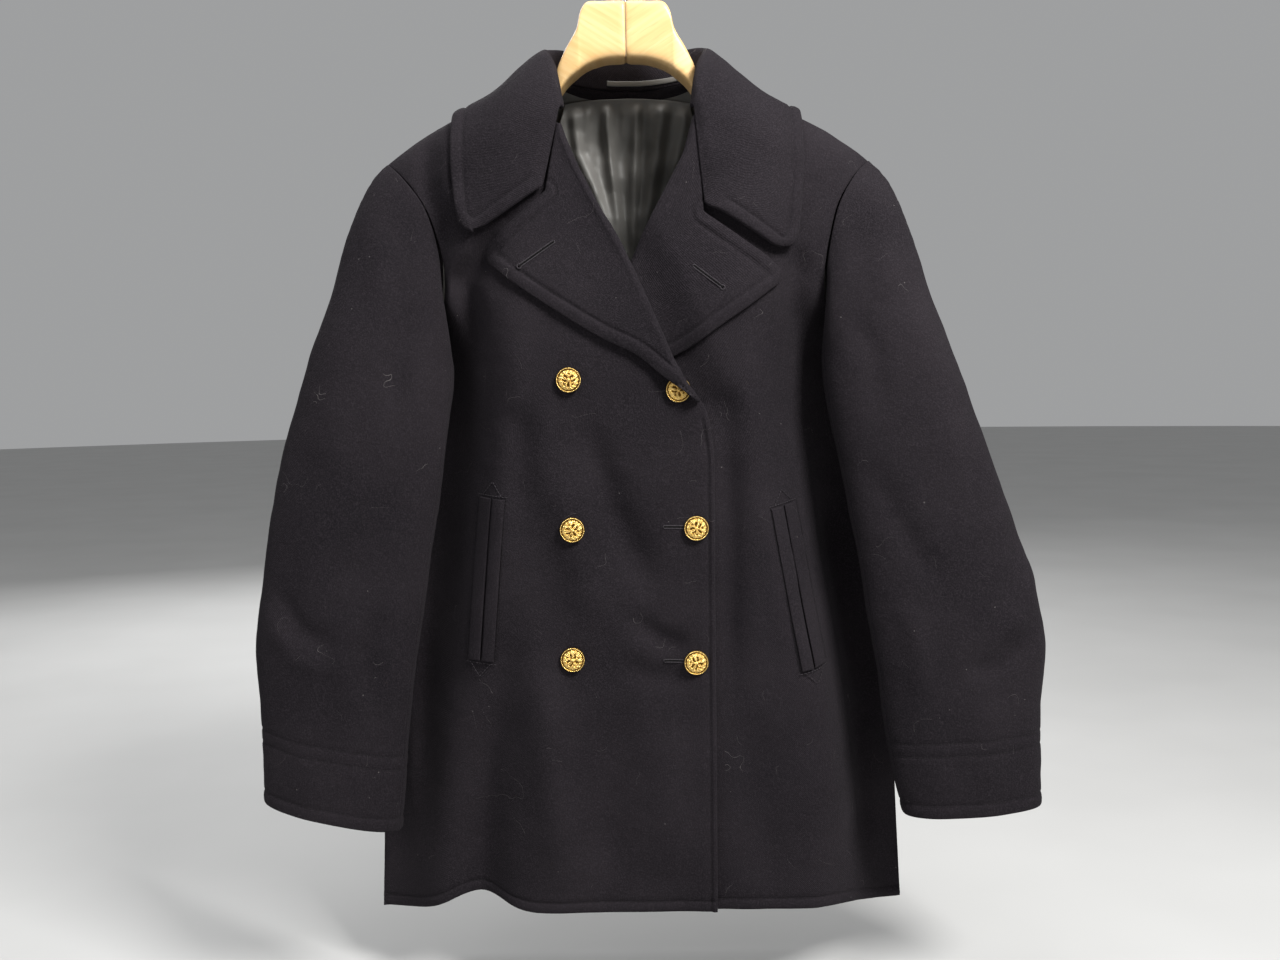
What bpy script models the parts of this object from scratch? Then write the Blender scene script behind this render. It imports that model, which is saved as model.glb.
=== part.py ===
"""Double-breasted wool pea coat hung on a wooden hanger.

Metres, +Z up. The origin is where the hanger's hook bears on its rail, the front of
the coat faces -Y, and +X is the wearer's left. SIDE is -1 or +1 for the two halves.
"""
import math

import bpy
import numpy as np

# ---- cloth and making-up sizes ----------------------------------------------------
WALL = 0.0024            # melton with its lining
LAPEL_WALL = 0.0034      # melton, canvas and facing
COLLAR_WALL = 0.0042     # under collar, canvas and top collar
SEAM = 0.00018           # half of the gap between two sewn pieces
LAP_GAP = 0.0012         # air between the two overlapping fronts
SHOULDER_H_FRONT = 0.060     # height over which the front turns over the shoulder
SHOULDER_H_BACK = 0.075
HEM_CENTRE_Z = -0.8965
HEM_SIDE_Z = -0.9165
FLUTE_DEPTH = 0.030
FLUTE_WIDTH = 0.028
FLUTE_LIFT = 0.011       # the hem is drawn up in the flute on the wearer's right

# shoulder ridge: half-width x, depth y, height z
RIDGE = np.array([
    (0.000, 0.014, -0.1230),
    (0.040, 0.013, -0.1255),
    (0.074, 0.011, -0.1325),
    (0.100, 0.008, -0.1445),
    (0.140, 0.006, -0.1640),
    (0.180, 0.004, -0.1830),
    (0.200, 0.004, -0.1955),
    (0.222, 0.004, -0.2110),
    (0.260, 0.004, -0.2450)])
SHOULDER_TILT = 0.010    # how far the wearer's left shoulder hangs lower, per metre of x

# front of the body: height z, depth at the chest, where the chest starts to fall
# back, where it has fallen behind the sleeve, and the depth there
CHEST = np.array([
    (-0.13, -0.036, 0.050, 0.270, -0.004),
    (-0.20, -0.050, 0.060, 0.270, -0.006),
    (-0.29, -0.058, 0.080, 0.265, -0.010),
    (-0.33, -0.061, 0.090, 0.235, 0.000),
    (-0.37, -0.062, 0.096, 0.200, 0.018),
    (-0.42, -0.062, 0.096, 0.190, 0.023),
    (-0.54, -0.058, 0.110, 0.203, 0.023),
    (-0.66, -0.052, 0.130, 0.222, 0.021),
    (-0.80, -0.046, 0.150, 0.240, 0.019),
    (-0.93, -0.042, 0.158, 0.250, 0.019)])

# side seam: height z, half-width x, depth y
SIDE_SEAM = np.array([
    (-0.380, 0.2250, 0.034),
    (-0.420, 0.2360, 0.038),
    (-0.500, 0.2420, 0.040),
    (-0.650, 0.2460, 0.040),
    (-0.840, 0.2505, 0.034),
    (-0.920, 0.2535, 0.030)])

# armhole, from the shoulder point down the front to the underarm and up the back
ARMHOLE_FRONT = np.array([
    (0.2200, 0.004, -0.2105),
    (0.2030, -0.018, -0.2270),
    (0.1880, -0.028, -0.2520),
    (0.1790, -0.032, -0.2850),
    (0.1750, -0.030, -0.3180),
    (0.1800, -0.017, -0.3450),
    (0.1985, 0.008, -0.3660),
    (0.2250, 0.034, -0.3800)])
ARMHOLE_BACK = np.array([
    (0.2200, 0.004, -0.2105),
    (0.2080, 0.036, -0.2300),
    (0.2000, 0.055, -0.2600),
    (0.1980, 0.060, -0.3000),
    (0.2030, 0.056, -0.3450),
    (0.2250, 0.034, -0.3800)])
ARMHOLE_IN = {-1: 0.009, 1: 0.001}   # how much nearer the middle the scye is on each side
UNDERARM_COLUMN = 20     # sleeve column that starts at the underarm
UNDERARM_OUT = 0.002     # how much more the sleeve stands off there, outwards
UNDERARM_UP = 0.002      # and upwards
SLEEVE_STAND_OUT = 0.0022
ARMHOLE_FOLD = 4         # row of ARMHOLE_FRONT where the sleeve's inner fold starts

# sleeves: height of the outer fold, its x, x of the inner fold, depth of the middle,
# half the depth, and how much lower the inner fold lies
SLEEVE = {
    -1: np.array([
        (-0.345, -0.2735, -0.1600, -0.026, 0.034, 0.048),
        (-0.382, -0.2875, -0.1605, -0.029, 0.034, 0.032),
        (-0.416, -0.2985, -0.1645, -0.031, 0.034, 0.020),
        (-0.455, -0.3100, -0.1690, -0.034, 0.033, 0.012),
        (-0.500, -0.3215, -0.1749, -0.037, 0.032, 0.012),
        (-0.570, -0.3337, -0.1869, -0.040, 0.031, 0.012),
        (-0.630, -0.3422, -0.1963, -0.042, 0.031, 0.012),
        (-0.665, -0.3435, -0.2025, -0.043, 0.030, 0.012),
        (-0.710, -0.3405, -0.2083, -0.044, 0.029, 0.013),
        (-0.755, -0.3405, -0.2128, -0.045, 0.028, 0.018),
        (-0.783, -0.3410, -0.2165, -0.045, 0.028, 0.029)]),
    1: np.array([
        (-0.345, 0.2710, 0.1710, -0.026, 0.034, 0.048),
        (-0.382, 0.2850, 0.1722, -0.029, 0.034, 0.032),
        (-0.416, 0.2975, 0.1755, -0.031, 0.034, 0.020),
        (-0.455, 0.3115, 0.1815, -0.034, 0.033, 0.012),
        (-0.500, 0.3266, 0.1904, -0.037, 0.032, 0.012),
        (-0.570, 0.3505, 0.2026, -0.040, 0.031, 0.012),
        (-0.630, 0.3650, 0.2118, -0.042, 0.031, 0.012),
        (-0.665, 0.3684, 0.2170, -0.043, 0.030, 0.012),
        (-0.710, 0.3640, 0.2229, -0.044, 0.029, 0.010),
        (-0.760, 0.3650, 0.2303, -0.045, 0.028, 0.008),
        (-0.798, 0.3650, 0.2395, -0.045, 0.028, 0.008)])}
SLEEVE_COLUMNS = 28
UNDER_SLEEVE_COLUMNS = 10      # of those, the columns of the under sleeve
CAP_RINGS = 4
CAP_BULGE = 0.009              # fullness of the sleeve head
SLEEVE_STAND = 0.0048          # the sleeve head stands this far off the body

# inner edge of each front, from the neck point down the roll line and front edge: x, z
OVER_FRONT_EDGE = np.array([
    (-0.0740, -0.1325), (-0.0680, -0.1560), (-0.0590, -0.1811), (-0.0430, -0.2213),
    (-0.0260, -0.2551), (-0.0080, -0.2874), (0.0070, -0.3189), (0.0275, -0.3661),
    (0.0500, -0.4136), (0.0625, -0.4312), (0.0700, -0.4620), (0.0714, -0.5149),
    (0.0711, -0.6040), (0.0708, -0.6943), (0.0705, -0.7858), (0.0697, -0.9200)])
UNDER_FRONT_EDGE = np.array([
    (0.0740, -0.1325), (0.0680, -0.1560), (0.0590, -0.1761), (0.0475, -0.2136),
    (0.0295, -0.2468), (0.0115, -0.2820), (-0.0060, -0.3190), (-0.0260, -0.3661),
    (-0.0480, -0.4136), (-0.0590, -0.4340), (-0.0640, -0.4700), (-0.0650, -0.5149),
    (-0.0650, -0.6040), (-0.0650, -0.6943), (-0.0650, -0.7858), (-0.0650, -0.9200)])

# lapel outlines: from the notch along the upper edge to the tip and down to the break
LAPEL_OUTLINE = {
    -1: np.array([
        (-0.0720, -0.2440), (-0.0905, -0.2590), (-0.1145, -0.2790), (-0.1262, -0.2920),
        (-0.1262, -0.3000), (-0.1150, -0.3110), (-0.0740, -0.3410), (-0.0264, -0.3710),
        (0.0076, -0.3887), (0.0240, -0.4030), (0.0400, -0.4150), (0.0560, -0.4240)]),
    1: np.array([
        (0.0650, -0.2640), (0.0990, -0.2880), (0.1275, -0.3090), (0.1345, -0.3165),
        (0.1325, -0.3240), (0.1215, -0.3330), (0.0790, -0.3620), (0.0440, -0.3850),
        (0.0000, -0.4020), (-0.0400, -0.4130)])}

# collar stations from the front point, over the shoulder, to the back: the fold line and
# the outer edge, each as half-width x and the way w from the shoulder ridge
# (front -, back +), then how far the fold stands out from and up from the shoulder
COLLAR = np.array([
    (0.0575, -0.0785, 0.1350, -0.1610, 0.0030, 0.0000),
    (0.0610, -0.0540, 0.1480, -0.1400, 0.0040, 0.0010),
    (0.0650, -0.0330, 0.1530, -0.0950, 0.0050, 0.0040),
    (0.0705, -0.0120, 0.1560, -0.0420, 0.0040, 0.0120),
    (0.0705, 0.0080, 0.1555, 0.0020, 0.0020, 0.0200),
    (0.0590, 0.0260, 0.1440, 0.0450, 0.0010, 0.0290),
    (0.0370, 0.0370, 0.1080, 0.0880, 0.0000, 0.0330),
    (0.0160, 0.0410, 0.0520, 0.1080, 0.0000, 0.0330),
    (0.0000, 0.0420, 0.0000, 0.1120, 0.0000, 0.0330)])
# end of the gorge seam, where the notch opens, and how much higher the collar's front is
GORGE_END = {-1: (-0.0735, -0.2400), 1: (0.0655, -0.2580)}
COLLAR_RISE = {-1: 0.0170, 1: 0.0}
COLLAR_EDGE_LIFT = 0.0026      # air under the outer edge of the collar

BUTTON_DIAMETER = 0.0222
BUTTON_THICK = 0.0050
BUTTONS = [(-0.0550, -0.4073), (0.0405, -0.4175), (-0.0546, -0.5385),
           (0.0547, -0.5396), (-0.0574, -0.6565), (0.0532, -0.6615)]
POCKETS = {-1: ((-0.1270, -0.5110), (-0.1420, -0.6595)),
           1: ((0.1345, -0.5225), (0.1605, -0.6700))}
POCKET_WELT = 0.0125
WELT_THICK = 0.0016

CLOTH = ("navy melton", (0.012, 0.010, 0.014), 0.9, 0.0)
LINING = ("black satin", (0.020, 0.020, 0.019), 0.4, 0.0)
WOOD = ("pale lacquered wood", (0.76, 0.60, 0.36), 0.4, 0.0)
BRASS = ("gilt brass", (0.83, 0.60, 0.22), 0.3, 1.0)
STEEL = ("plated steel", (0.70, 0.70, 0.70), 0.25, 1.0)


# ---- curves and surfaces ------------------------------------------------------------
def curve(points, t):
    """Catmull-Rom curve through the points, t from 0 to 1 by length of its chords."""
    points = np.asarray(points, float)
    chords = np.r_[0, np.cumsum(np.linalg.norm(np.diff(points, axis=0), axis=1))]
    at = np.clip(np.asarray(t, float), 0, 1) * chords[-1]
    k = np.clip(np.searchsorted(chords, at, side="right") - 1, 0, len(points) - 2)
    tangents = np.gradient(points, chords, axis=0)
    step = (chords[k + 1] - chords[k])
    u = (at - chords[k]) / step
    u, step = u[..., None], step[..., None]
    return ((2*u**3 - 3*u**2 + 1) * points[k] + (u**3 - 2*u**2 + u) * step * tangents[k]
            + (3*u**2 - 2*u**3) * points[k + 1] + (u**3 - u**2) * step * tangents[k + 1])


def polyline(points, t):
    """Point at the part t of the length of a line of straight pieces."""
    chords = np.r_[0, np.cumsum(np.linalg.norm(np.diff(points, axis=0), axis=1))]
    return np.array([np.interp(t, chords / chords[-1], points[:, k]) for k in range(points.shape[1])])


def column(table, key, value):
    """Value of a table's column at key, smooth between its rows."""
    x, y = table[:, 0], table[:, value]
    if x[0] > x[-1]:
        x, y = x[::-1], y[::-1]
    key = np.clip(key, x[0], x[-1])
    k = np.clip(np.searchsorted(x, key, side="right") - 1, 0, len(x) - 2)
    slopes = np.gradient(y, x)
    step = x[k + 1] - x[k]
    u = (key - x[k]) / step
    return ((2*u**3 - 3*u**2 + 1) * y[k] + (u**3 - 2*u**2 + u) * step * slopes[k]
            + (3*u**2 - 2*u**3) * y[k + 1] + (u**3 - u**2) * step * slopes[k + 1])


def smooth(t):
    t = np.clip(t, 0, 1)
    return t * t * (3 - 2 * t)


def unit(v):
    return v / np.maximum(np.linalg.norm(v, axis=-1, keepdims=True), 1e-12)


def ridge(x):
    """Depth and height of the shoulder ridge."""
    return column(RIDGE, np.abs(x), 1), column(RIDGE, np.abs(x), 2) - SHOULDER_TILT * x


def flute_way(x, z):
    """How far x is from the middle of the flute at the height z."""
    return x + 0.126 + 0.026 * smooth((-0.56 - z) / 0.34)


def chest_y(x, z):
    """Depth of the front below the shoulder, with the flute on the wearer's right."""
    start, end = column(CHEST, z, 2), column(CHEST, z, 3)
    front, side = column(CHEST, z, 1), column(CHEST, z, 4)
    fall = smooth((np.abs(x) - start) / (end - start))
    y = front + (side - front) * fall
    y = y + 0.25 * np.maximum(np.abs(x) - end, 0)
    return y + FLUTE_DEPTH * smooth((-0.52 - z) / 0.36) * np.exp(-(flute_way(x, z) / FLUTE_WIDTH) ** 2)


def back_y(x, z):
    """Depth of the back, flat against the wall behind, round at the sides."""
    return 0.068 - 0.030 * smooth((np.abs(x) - 0.165) / 0.085) - 0.004 * smooth((-0.2 - z) / 0.2)


def drape(x, w, off=0.0):
    """Point at the way w from the shoulder ridge (front -, back +), off the cloth."""
    x, w, off = np.broadcast_arrays(*[np.asarray(a, float) for a in (x, w, off)])
    y0, z0 = ridge(x)
    back = w > 0
    h = np.where(back, SHOULDER_H_BACK, SHOULDER_H_FRONT)
    flat = np.where(back, back_y(x, z0 - h), chest_y(x, z0 - h))
    depth = np.abs(flat - y0)
    way = np.abs(w)
    quarter = math.pi / 2 * np.sqrt((depth ** 2 + h ** 2) / 2)
    turn = np.minimum(way / quarter, 1) * math.pi / 2
    z = z0 + off - (h + off) * (1 - np.cos(turn)) - np.maximum(way - quarter, 0)
    sign = np.where(back, 1.0, -1.0)
    y_round = y0 + sign * (depth + off) * np.sin(turn)
    y_flat = np.where(back, back_y(x, z), chest_y(x, z)) + sign * off
    y = np.where(way < quarter, y_round, y_flat)
    return np.stack([x, y, z], -1)


def way_down(x, z, back=False):
    """The way w from the ridge to the height z at x."""
    y0, z0 = ridge(x)
    h = SHOULDER_H_BACK if back else SHOULDER_H_FRONT
    flat = back_y(x, z0 - h) if back else chest_y(x, z0 - h)
    quarter = math.pi / 2 * np.sqrt((np.abs(flat - y0) ** 2 + h ** 2) / 2)
    drop = np.maximum(z0 - z, 0)
    turn = np.arccos(np.clip(1 - drop / h, -1, 1))
    way = np.where(drop < h, turn / (math.pi / 2) * quarter, quarter + drop - h)
    return way if back else -way


# ---- solids ------------------------------------------------------------------------
def material(spec):
    name, colour, rough, metal = spec
    found = bpy.data.materials.get(name)
    if found:
        return found
    made = bpy.data.materials.new(name)
    made.use_nodes = True
    shader = made.node_tree.nodes["Principled BSDF"]
    shader.inputs["Base Color"].default_value = (*colour, 1)
    shader.inputs["Roughness"].default_value = rough
    shader.inputs["Metallic"].default_value = metal
    return made


def add_object(name, verts, faces, spec):
    mesh = bpy.data.meshes.new(name)
    mesh.from_pydata([tuple(float(c) for c in v) for v in verts], [], faces)
    mesh.validate()
    tri = np.array([t for f in faces for t in ([f[0], f[i], f[i + 1]] for i in range(1, len(f) - 1))])
    v = np.asarray(verts)
    volume = np.einsum("ij,ij->i", v[tri[:, 0]], np.cross(v[tri[:, 1]], v[tri[:, 2]])).sum()
    if volume < 0:
        mesh.flip_normals()
    mesh.shade_smooth()
    mesh.set_sharp_from_angle(angle=math.radians(50))
    mesh.materials.append(material(spec))
    made = bpy.data.objects.new(name, mesh)
    bpy.context.scene.collection.objects.link(made)
    return made


def grid_normals(grid, closed=False):
    """Unit normals of a grid of points, wrapped round its columns if closed."""
    if closed:
        wide = np.concatenate([grid[:, -1:], grid, grid[:, :1]], 1)
        across = np.gradient(wide, axis=1)[:, 1:-1]
    else:
        across = np.gradient(grid, axis=1)
    return unit(np.cross(across, np.gradient(grid, axis=0)))


def two_skins(name, outer, inner, spec, closed=False):
    """One closed solid between two grids of points, rows by columns."""
    rows, cols = outer.shape[:2]
    verts = np.concatenate([outer.reshape(-1, 3), inner.reshape(-1, 3)])
    shift = rows * cols

    def at(i, j):
        return i * cols + j % cols

    faces = []
    for i in range(rows - 1):
        for j in range(cols if closed else cols - 1):
            quad = [at(i, j), at(i, j + 1), at(i + 1, j + 1), at(i + 1, j)]
            faces.append(quad)
            faces.append([q + shift for q in quad[::-1]])
    rim = []
    for j in range(cols if closed else cols - 1):
        rim.append((at(0, j + 1), at(0, j)))
        rim.append((at(rows - 1, j), at(rows - 1, j + 1)))
    if not closed:
        for i in range(rows - 1):
            rim.append((at(i, 0), at(i + 1, 0)))
            rim.append((at(i + 1, cols - 1), at(i, cols - 1)))
    for a, b in rim:
        faces.append([a, b, b + shift, a + shift])
    return add_object(name, verts, faces, spec)


def tube(name, rings, spec):
    """Closed solid through rings of points, with flat ends."""
    rows, cols = rings.shape[:2]
    faces = [[i * cols + j, i * cols + (j + 1) % cols, (i + 1) * cols + (j + 1) % cols,
              (i + 1) * cols + j] for i in range(rows - 1) for j in range(cols)]
    faces.append(list(range(cols))[::-1])
    faces.append([(rows - 1) * cols + k for k in range(cols)])
    return add_object(name, rings.reshape(-1, 3), faces, spec)


def pull_in(grid, amount=SEAM, edges="tblr"):
    """Move the grid's edges in by half a seam gap."""
    g = grid.copy()
    if "t" in edges:
        g[0] += unit(grid[1] - grid[0]) * amount
    if "b" in edges:
        g[-1] += unit(grid[-2] - grid[-1]) * amount
    if "l" in edges:
        g[:, 0] += unit(grid[:, 1] - grid[:, 0]) * amount
    if "r" in edges:
        g[:, -1] += unit(grid[:, -2] - grid[:, -1]) * amount
    return g


def wall(name, grid, thickness, spec, outward, fixed=(), closed=False):
    """Cloth wall: the grid is its outer face, outward a rough outer direction. fixed
    lists row, column and the wall's direction there, where two pieces meet."""
    normals = grid_normals(grid, closed)
    if np.sum(normals * outward) < 0:
        normals = -normals
    for i, j, direction in fixed:
        normals[i, j] = direction
    return two_skins(name, grid, grid - normals * thickness, spec, closed)


# ---- body --------------------------------------------------------------------------
ARM_ROWS = 13
ROW_CROWDING = 1.6       # rows lie closer together at the shoulder
SKIRT_ROWS = 13
FRONT_COLUMNS = 15
BACK_COLUMNS = 12
NECK_COLUMNS = 5
# back neck: half-width x and the way w from the shoulder ridge
NECK = np.array([(0.000, 0.0400), (0.030, 0.0360), (0.057, 0.0210), (0.074, 0.0)])


def edge_x(edge, z):
    return column(edge[:, ::-1], z, 1)


def hem_z(x):
    side = (HEM_SIDE_Z - HEM_CENTRE_Z) * smooth((np.abs(x) - 0.165) / 0.085)
    return HEM_CENTRE_Z + side + FLUTE_LIFT * np.exp(-(flute_way(x, HEM_CENTRE_Z) / 0.034) ** 2)


def armhole(points, side):
    """The armhole's points on one side of the coat."""
    x, y, z = points.T
    x = x - ARMHOLE_IN[side] * smooth((-0.2105 - z) / 0.07) * smooth((z + 0.380) / 0.03)
    return np.stack([side * x, y, z - SHOULDER_TILT * side * x], -1)


def panel_grid(side, inner_x, arm, top_x, top_w, back, columns):
    """Rows from the top to the hem, columns from the inner edge outwards. top_x and
    top_w place the top row's points."""
    s = np.linspace(0, 1, columns)
    arm_x, arm_y, arm_z = curve(armhole(arm, side), np.linspace(0, 1, ARM_ROWS) ** ROW_CROWDING).T
    low = arm_z[-1]
    low_x = inner_x(low) + (arm_x[-1] - inner_x(low)) * s
    low_w = way_down(low_x, low + low_x * 0, back)
    rows = []
    for k in range(ARM_ROWS):
        t = (k / (ARM_ROWS - 1)) ** ROW_CROWDING
        x = top_x + (low_x - top_x) * t
        w = top_w + (low_w - top_w) * t
        z_in = drape(x[0], w[0])[2]
        x = x + (inner_x(z_in) - x[0]) * (1 - s) ** 1.5 * (1 if k else 0)
        x = x + (arm_x[k] - x[-1]) * s ** 3
        w_arm = way_down(arm_x[k], arm_z[k], back) if k else 0.0
        w = w + (w_arm - w[-1]) * s ** 3
        row = drape(x, w)
        row[:, 1] += (arm_y[k] - row[-1, 1]) * s ** 6
        row[:, 2] += (arm_z[k] - row[-1, 2]) * s ** 6
        rows.append(row)
    for k in range(1, SKIRT_ROWS + 1):
        t = k / SKIRT_ROWS
        z_out = low + (HEM_SIDE_Z - low) * t
        sx, sy = column(SIDE_SEAM, z_out, 1), column(SIDE_SEAM, z_out, 2)
        x_in = inner_x(low + (HEM_CENTRE_Z - low) * t)
        x = x_in + (side * sx - x_in) * s
        row = drape(x, way_down(x, low + (hem_z(x) - low) * t, back))
        row[:, 1] += (sy - row[-1, 1]) * s ** 6
        rows.append(row)
    return np.array(rows)


def under_shift(x, z):
    """How far the under front lies behind the line of the over front, which leaves room
    for its own lapel where that goes under the over front."""
    lapel_room = smooth((-0.235 - z) / 0.05) * smooth((z + 0.475) / 0.05)
    depth = WALL + LAP_GAP + (LAPEL_WALL + LAP_GAP + ROLL * 0.8) * lapel_room
    depth = depth * smooth((-0.20 - z) / 0.06)
    return depth * (1 - smooth((x - edge_x(OVER_FRONT_EDGE, z) - 0.004) / 0.040))


def front_grid(side):
    edge = OVER_FRONT_EDGE if side < 0 else UNDER_FRONT_EDGE
    top_x = side * np.linspace(abs(edge[0, 0]), ARMHOLE_FRONT[0, 0], FRONT_COLUMNS)
    grid = panel_grid(side, lambda z: edge_x(edge, z), ARMHOLE_FRONT, top_x, top_x * 0, False,
                      FRONT_COLUMNS)
    if side > 0:
        grid[:, :, 1] += under_shift(grid[:, :, 0], grid[:, :, 2])
    return grid


def back_grid(side):
    """Half of the back; its top row is the back neck and then the shoulder seam."""
    neck_x = np.linspace(0, NECK[-1, 0], NECK_COLUMNS)
    neck_w = column(NECK, neck_x, 1)
    shoulder_x = np.linspace(NECK[-1, 0], ARMHOLE_BACK[0, 0], BACK_COLUMNS - NECK_COLUMNS + 1)[1:]
    top_x = side * np.r_[neck_x, shoulder_x]
    top_w = np.r_[neck_w, shoulder_x * 0]
    return panel_grid(side, lambda z: 0.0, ARMHOLE_BACK, top_x, top_w, True, BACK_COLUMNS)


def seam_directions(side, rows, columns):
    """The wall's own direction where two panels meet: up at the shoulder seam, and
    outwards down the side seam."""
    up = [(0, j, (0.0, 0.0, 1.0)) for j in range(columns)]
    out = [(i, columns - 1, (float(side), 0.0, 0.0)) for i in range(ARM_ROWS - 1, rows)]
    return up + out


def body_panels():
    for side, word in ((-1, "right"), (1, "left")):
        grid = pull_in(front_grid(side))
        wall("front_" + word, grid, WALL, CLOTH, np.array([0.0, -1.0, 0.2]),
             seam_directions(side, *grid.shape[:2]))
        grid = pull_in(back_grid(side))
        centre = [(i, 0, (0.0, 1.0, 0.0)) for i in range(1, grid.shape[0])]
        wall("back_" + word, grid, WALL, CLOTH, np.array([0.0, 1.0, 0.2]),
             seam_directions(side, *grid.shape[:2]) + centre)


# ---- sleeves -----------------------------------------------------------------------
ARMHOLE_MIDDLE_Y = 0.045     # in front of this the sleeve stands forward of the body
UNDERARM_SPREAD = 0.16       # part of the armhole over which the underarm is let out
BACK_STAND = 0.03            # weight of the backward stand behind the underarm
SIDE_STAND = 0.7             # and of the sideways stand below the armhole's middle


def armhole_ring(side, n):
    """Armhole points off the cloth: 0 at the shoulder, n/2 where the inner fold starts."""
    loop = armhole(np.concatenate([ARMHOLE_FRONT, ARMHOLE_BACK[-2::-1]]), side)
    chords = np.r_[0, np.cumsum(np.linalg.norm(np.diff(loop, axis=0), axis=1))]
    knots = chords[[0, ARMHOLE_FOLD, len(ARMHOLE_FRONT) - 1, -1]] / chords[-1]
    way = np.interp(np.arange(n), [0, n // 2, UNDERARM_COLUMN, n], knots)
    ring = curve(loop, way)
    rise = ring[:, 2] - ring[:, 2].mean()
    underarm = smooth(1 - np.abs(way - knots[2]) / UNDERARM_SPREAD)
    forward = np.minimum(ring[:, 1] - ARMHOLE_MIDDLE_Y, 0)
    backward = np.where(way > knots[2], BACK_STAND, forward)
    sideways = side * SIDE_STAND * np.maximum(-rise, 0)
    away = unit(np.stack([sideways, backward, np.maximum(rise, 0)], -1))
    ring = ring + away * SLEEVE_STAND + np.array([side * SLEEVE_STAND_OUT, 0, 0])
    return ring + underarm[:, None] * np.array([side * UNDERARM_OUT, 0, UNDERARM_UP])


def tube_ring(side, row, n):
    z_out, x_out, x_in, y_mid, half_depth, drop = row
    phi = np.linspace(0, 2 * math.pi, n, endpoint=False)
    c, s = np.cos(phi), np.sin(phi)
    c = np.sign(c) * np.abs(c) ** 0.9
    x = (x_out + x_in) / 2 + (x_out - x_in) / 2 * c
    z = z_out - drop * (1 - c) / 2
    y = y_mid - half_depth * np.sign(s) * np.abs(s) ** 0.85
    return np.stack([x, y, z], -1)


def sleeve_grid(side):
    table = SLEEVE[side]
    n = SLEEVE_COLUMNS
    first, arm = tube_ring(side, table[0], n), armhole_ring(side, n)
    rings = []
    phi = np.linspace(0, 2 * math.pi, n, endpoint=False)
    for k in range(CAP_RINGS):
        t = k / CAP_RINGS
        ring = arm + (first - arm) * t
        bulge = CAP_BULGE * math.sin(math.pi * t ** 0.6) * np.clip(np.cos(phi), 0, 1) ** 0.7
        ring[:, 0] += side * bulge
        ring[:, 2] += 0.4 * bulge
        forward = 0.006 * math.sin(math.pi * t) * np.clip(-np.cos(phi), 0, 1)
        ring[:, 1] -= forward * np.clip(np.sin(phi) + 0.5, 0, 1)
        rings.append(ring)
    rings += [tube_ring(side, row, n) for row in table]
    return np.array(rings)


def sleeves():
    for side, word in ((-1, "right"), (1, "left")):
        grid = sleeve_grid(side)
        n = SLEEVE_COLUMNS
        centre = grid.mean(1, keepdims=True)
        closed = grid_normals(grid, True)
        if np.sum(closed * (grid - centre)) < 0:
            closed = -closed
        inner = grid - closed * WALL
        # the under sleeve runs from the inner fold round the back
        start = n // 2 - 1
        under = [(start + k) % n for k in range(UNDER_SLEEVE_COLUMNS + 1)]
        upper = [(start + UNDER_SLEEVE_COLUMNS + k) % n for k in range(n - UNDER_SLEEVE_COLUMNS + 1)]
        for cols, piece in ((upper, "sleeve_upper_"), (under, "sleeve_under_")):
            o, i = grid[:, cols], inner[:, cols]
            two_skins(piece + word, pull_in(o, edges="lr"), pull_in(i, edges="lr"), CLOTH)


# ---- lapels and collar ---------------------------------------------------------------
LAPEL_ROWS = 17
LAPEL_COLUMNS = 8
LAPEL_LIFT = 0.0026      # air between a lapel and its front
LAPEL_TOP = 0.004        # width of the lapel at the top of the gorge seam
LAPEL_SEAM_ROWS = 0.35   # part of the rows that end on the gorge seam
LAPEL_SEAM_ROLL = 0.50   # and the part of the roll line they start from
LAPEL_END = 0.970        # way along the outline where the lapel runs out
ROLL = 0.0030            # radius of the rolled edge of a lapel
ROLL_SHARE = 0.6         # how much of that radius the lapel stands off at its roll
ROLL_FADE = 9            # how fast that falls off across the lapel
GORGE_DROP = 0.004       # the gorge seam starts this far below the neck's edge row
OVER_BUTTON_AIR = 0.0005
OVER_BUTTON_REACH = 0.022    # distance over which the lapel rises over the upper button
BREAK_Z = -0.4270        # where the over front's lapel starts to turn


def lapel_grid(side):
    """Rows from the gorge seam's top to the break; columns from the roll line outwards."""
    edge = OVER_FRONT_EDGE if side < 0 else UNDER_FRONT_EDGE
    top_z = edge[2, 1] - GORGE_DROP
    end_z = BREAK_Z if side < 0 else edge[8, 1]
    gorge_top = (edge_x(edge, top_z) + side * LAPEL_TOP, top_z)
    outline = np.vstack([gorge_top, LAPEL_OUTLINE[side]])
    lengths = np.linalg.norm(np.diff(outline, axis=0), axis=1)
    seam = lengths[0] / lengths.sum()
    seam_share = [0, LAPEL_SEAM_ROWS, 1]
    rows = []
    for k in range(LAPEL_ROWS):
        u = k / (LAPEL_ROWS - 1)
        z_roll = top_z + (end_z - top_z) * np.interp(u, seam_share, [0, LAPEL_SEAM_ROLL, 1])
        roll = np.array([edge_x(edge, z_roll), z_roll])
        end = polyline(outline, np.interp(u, seam_share, [0, seam, LAPEL_END]))
        v = np.linspace(0, 1, LAPEL_COLUMNS)
        x = roll[0] + (end[0] - roll[0]) * v
        z = roll[1] + (end[1] - roll[1]) * v
        gap = LAPEL_LIFT + ROLL * ROLL_SHARE * np.exp(-v * ROLL_FADE)
        p = drape(x, way_down(x, z))
        p[:, 1] -= LAPEL_WALL + gap
        if side > 0:
            p[:, 1] += under_shift(x, z)
        else:
            far = np.hypot(x - BUTTONS[1][0], z - BUTTONS[1][1])
            rise = BUTTON_THICK + OVER_BUTTON_AIR
            p[:, 1] -= rise * np.exp(-(far / OVER_BUTTON_REACH) ** 4)
        rows.append(p)
    return np.array(rows)


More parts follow.
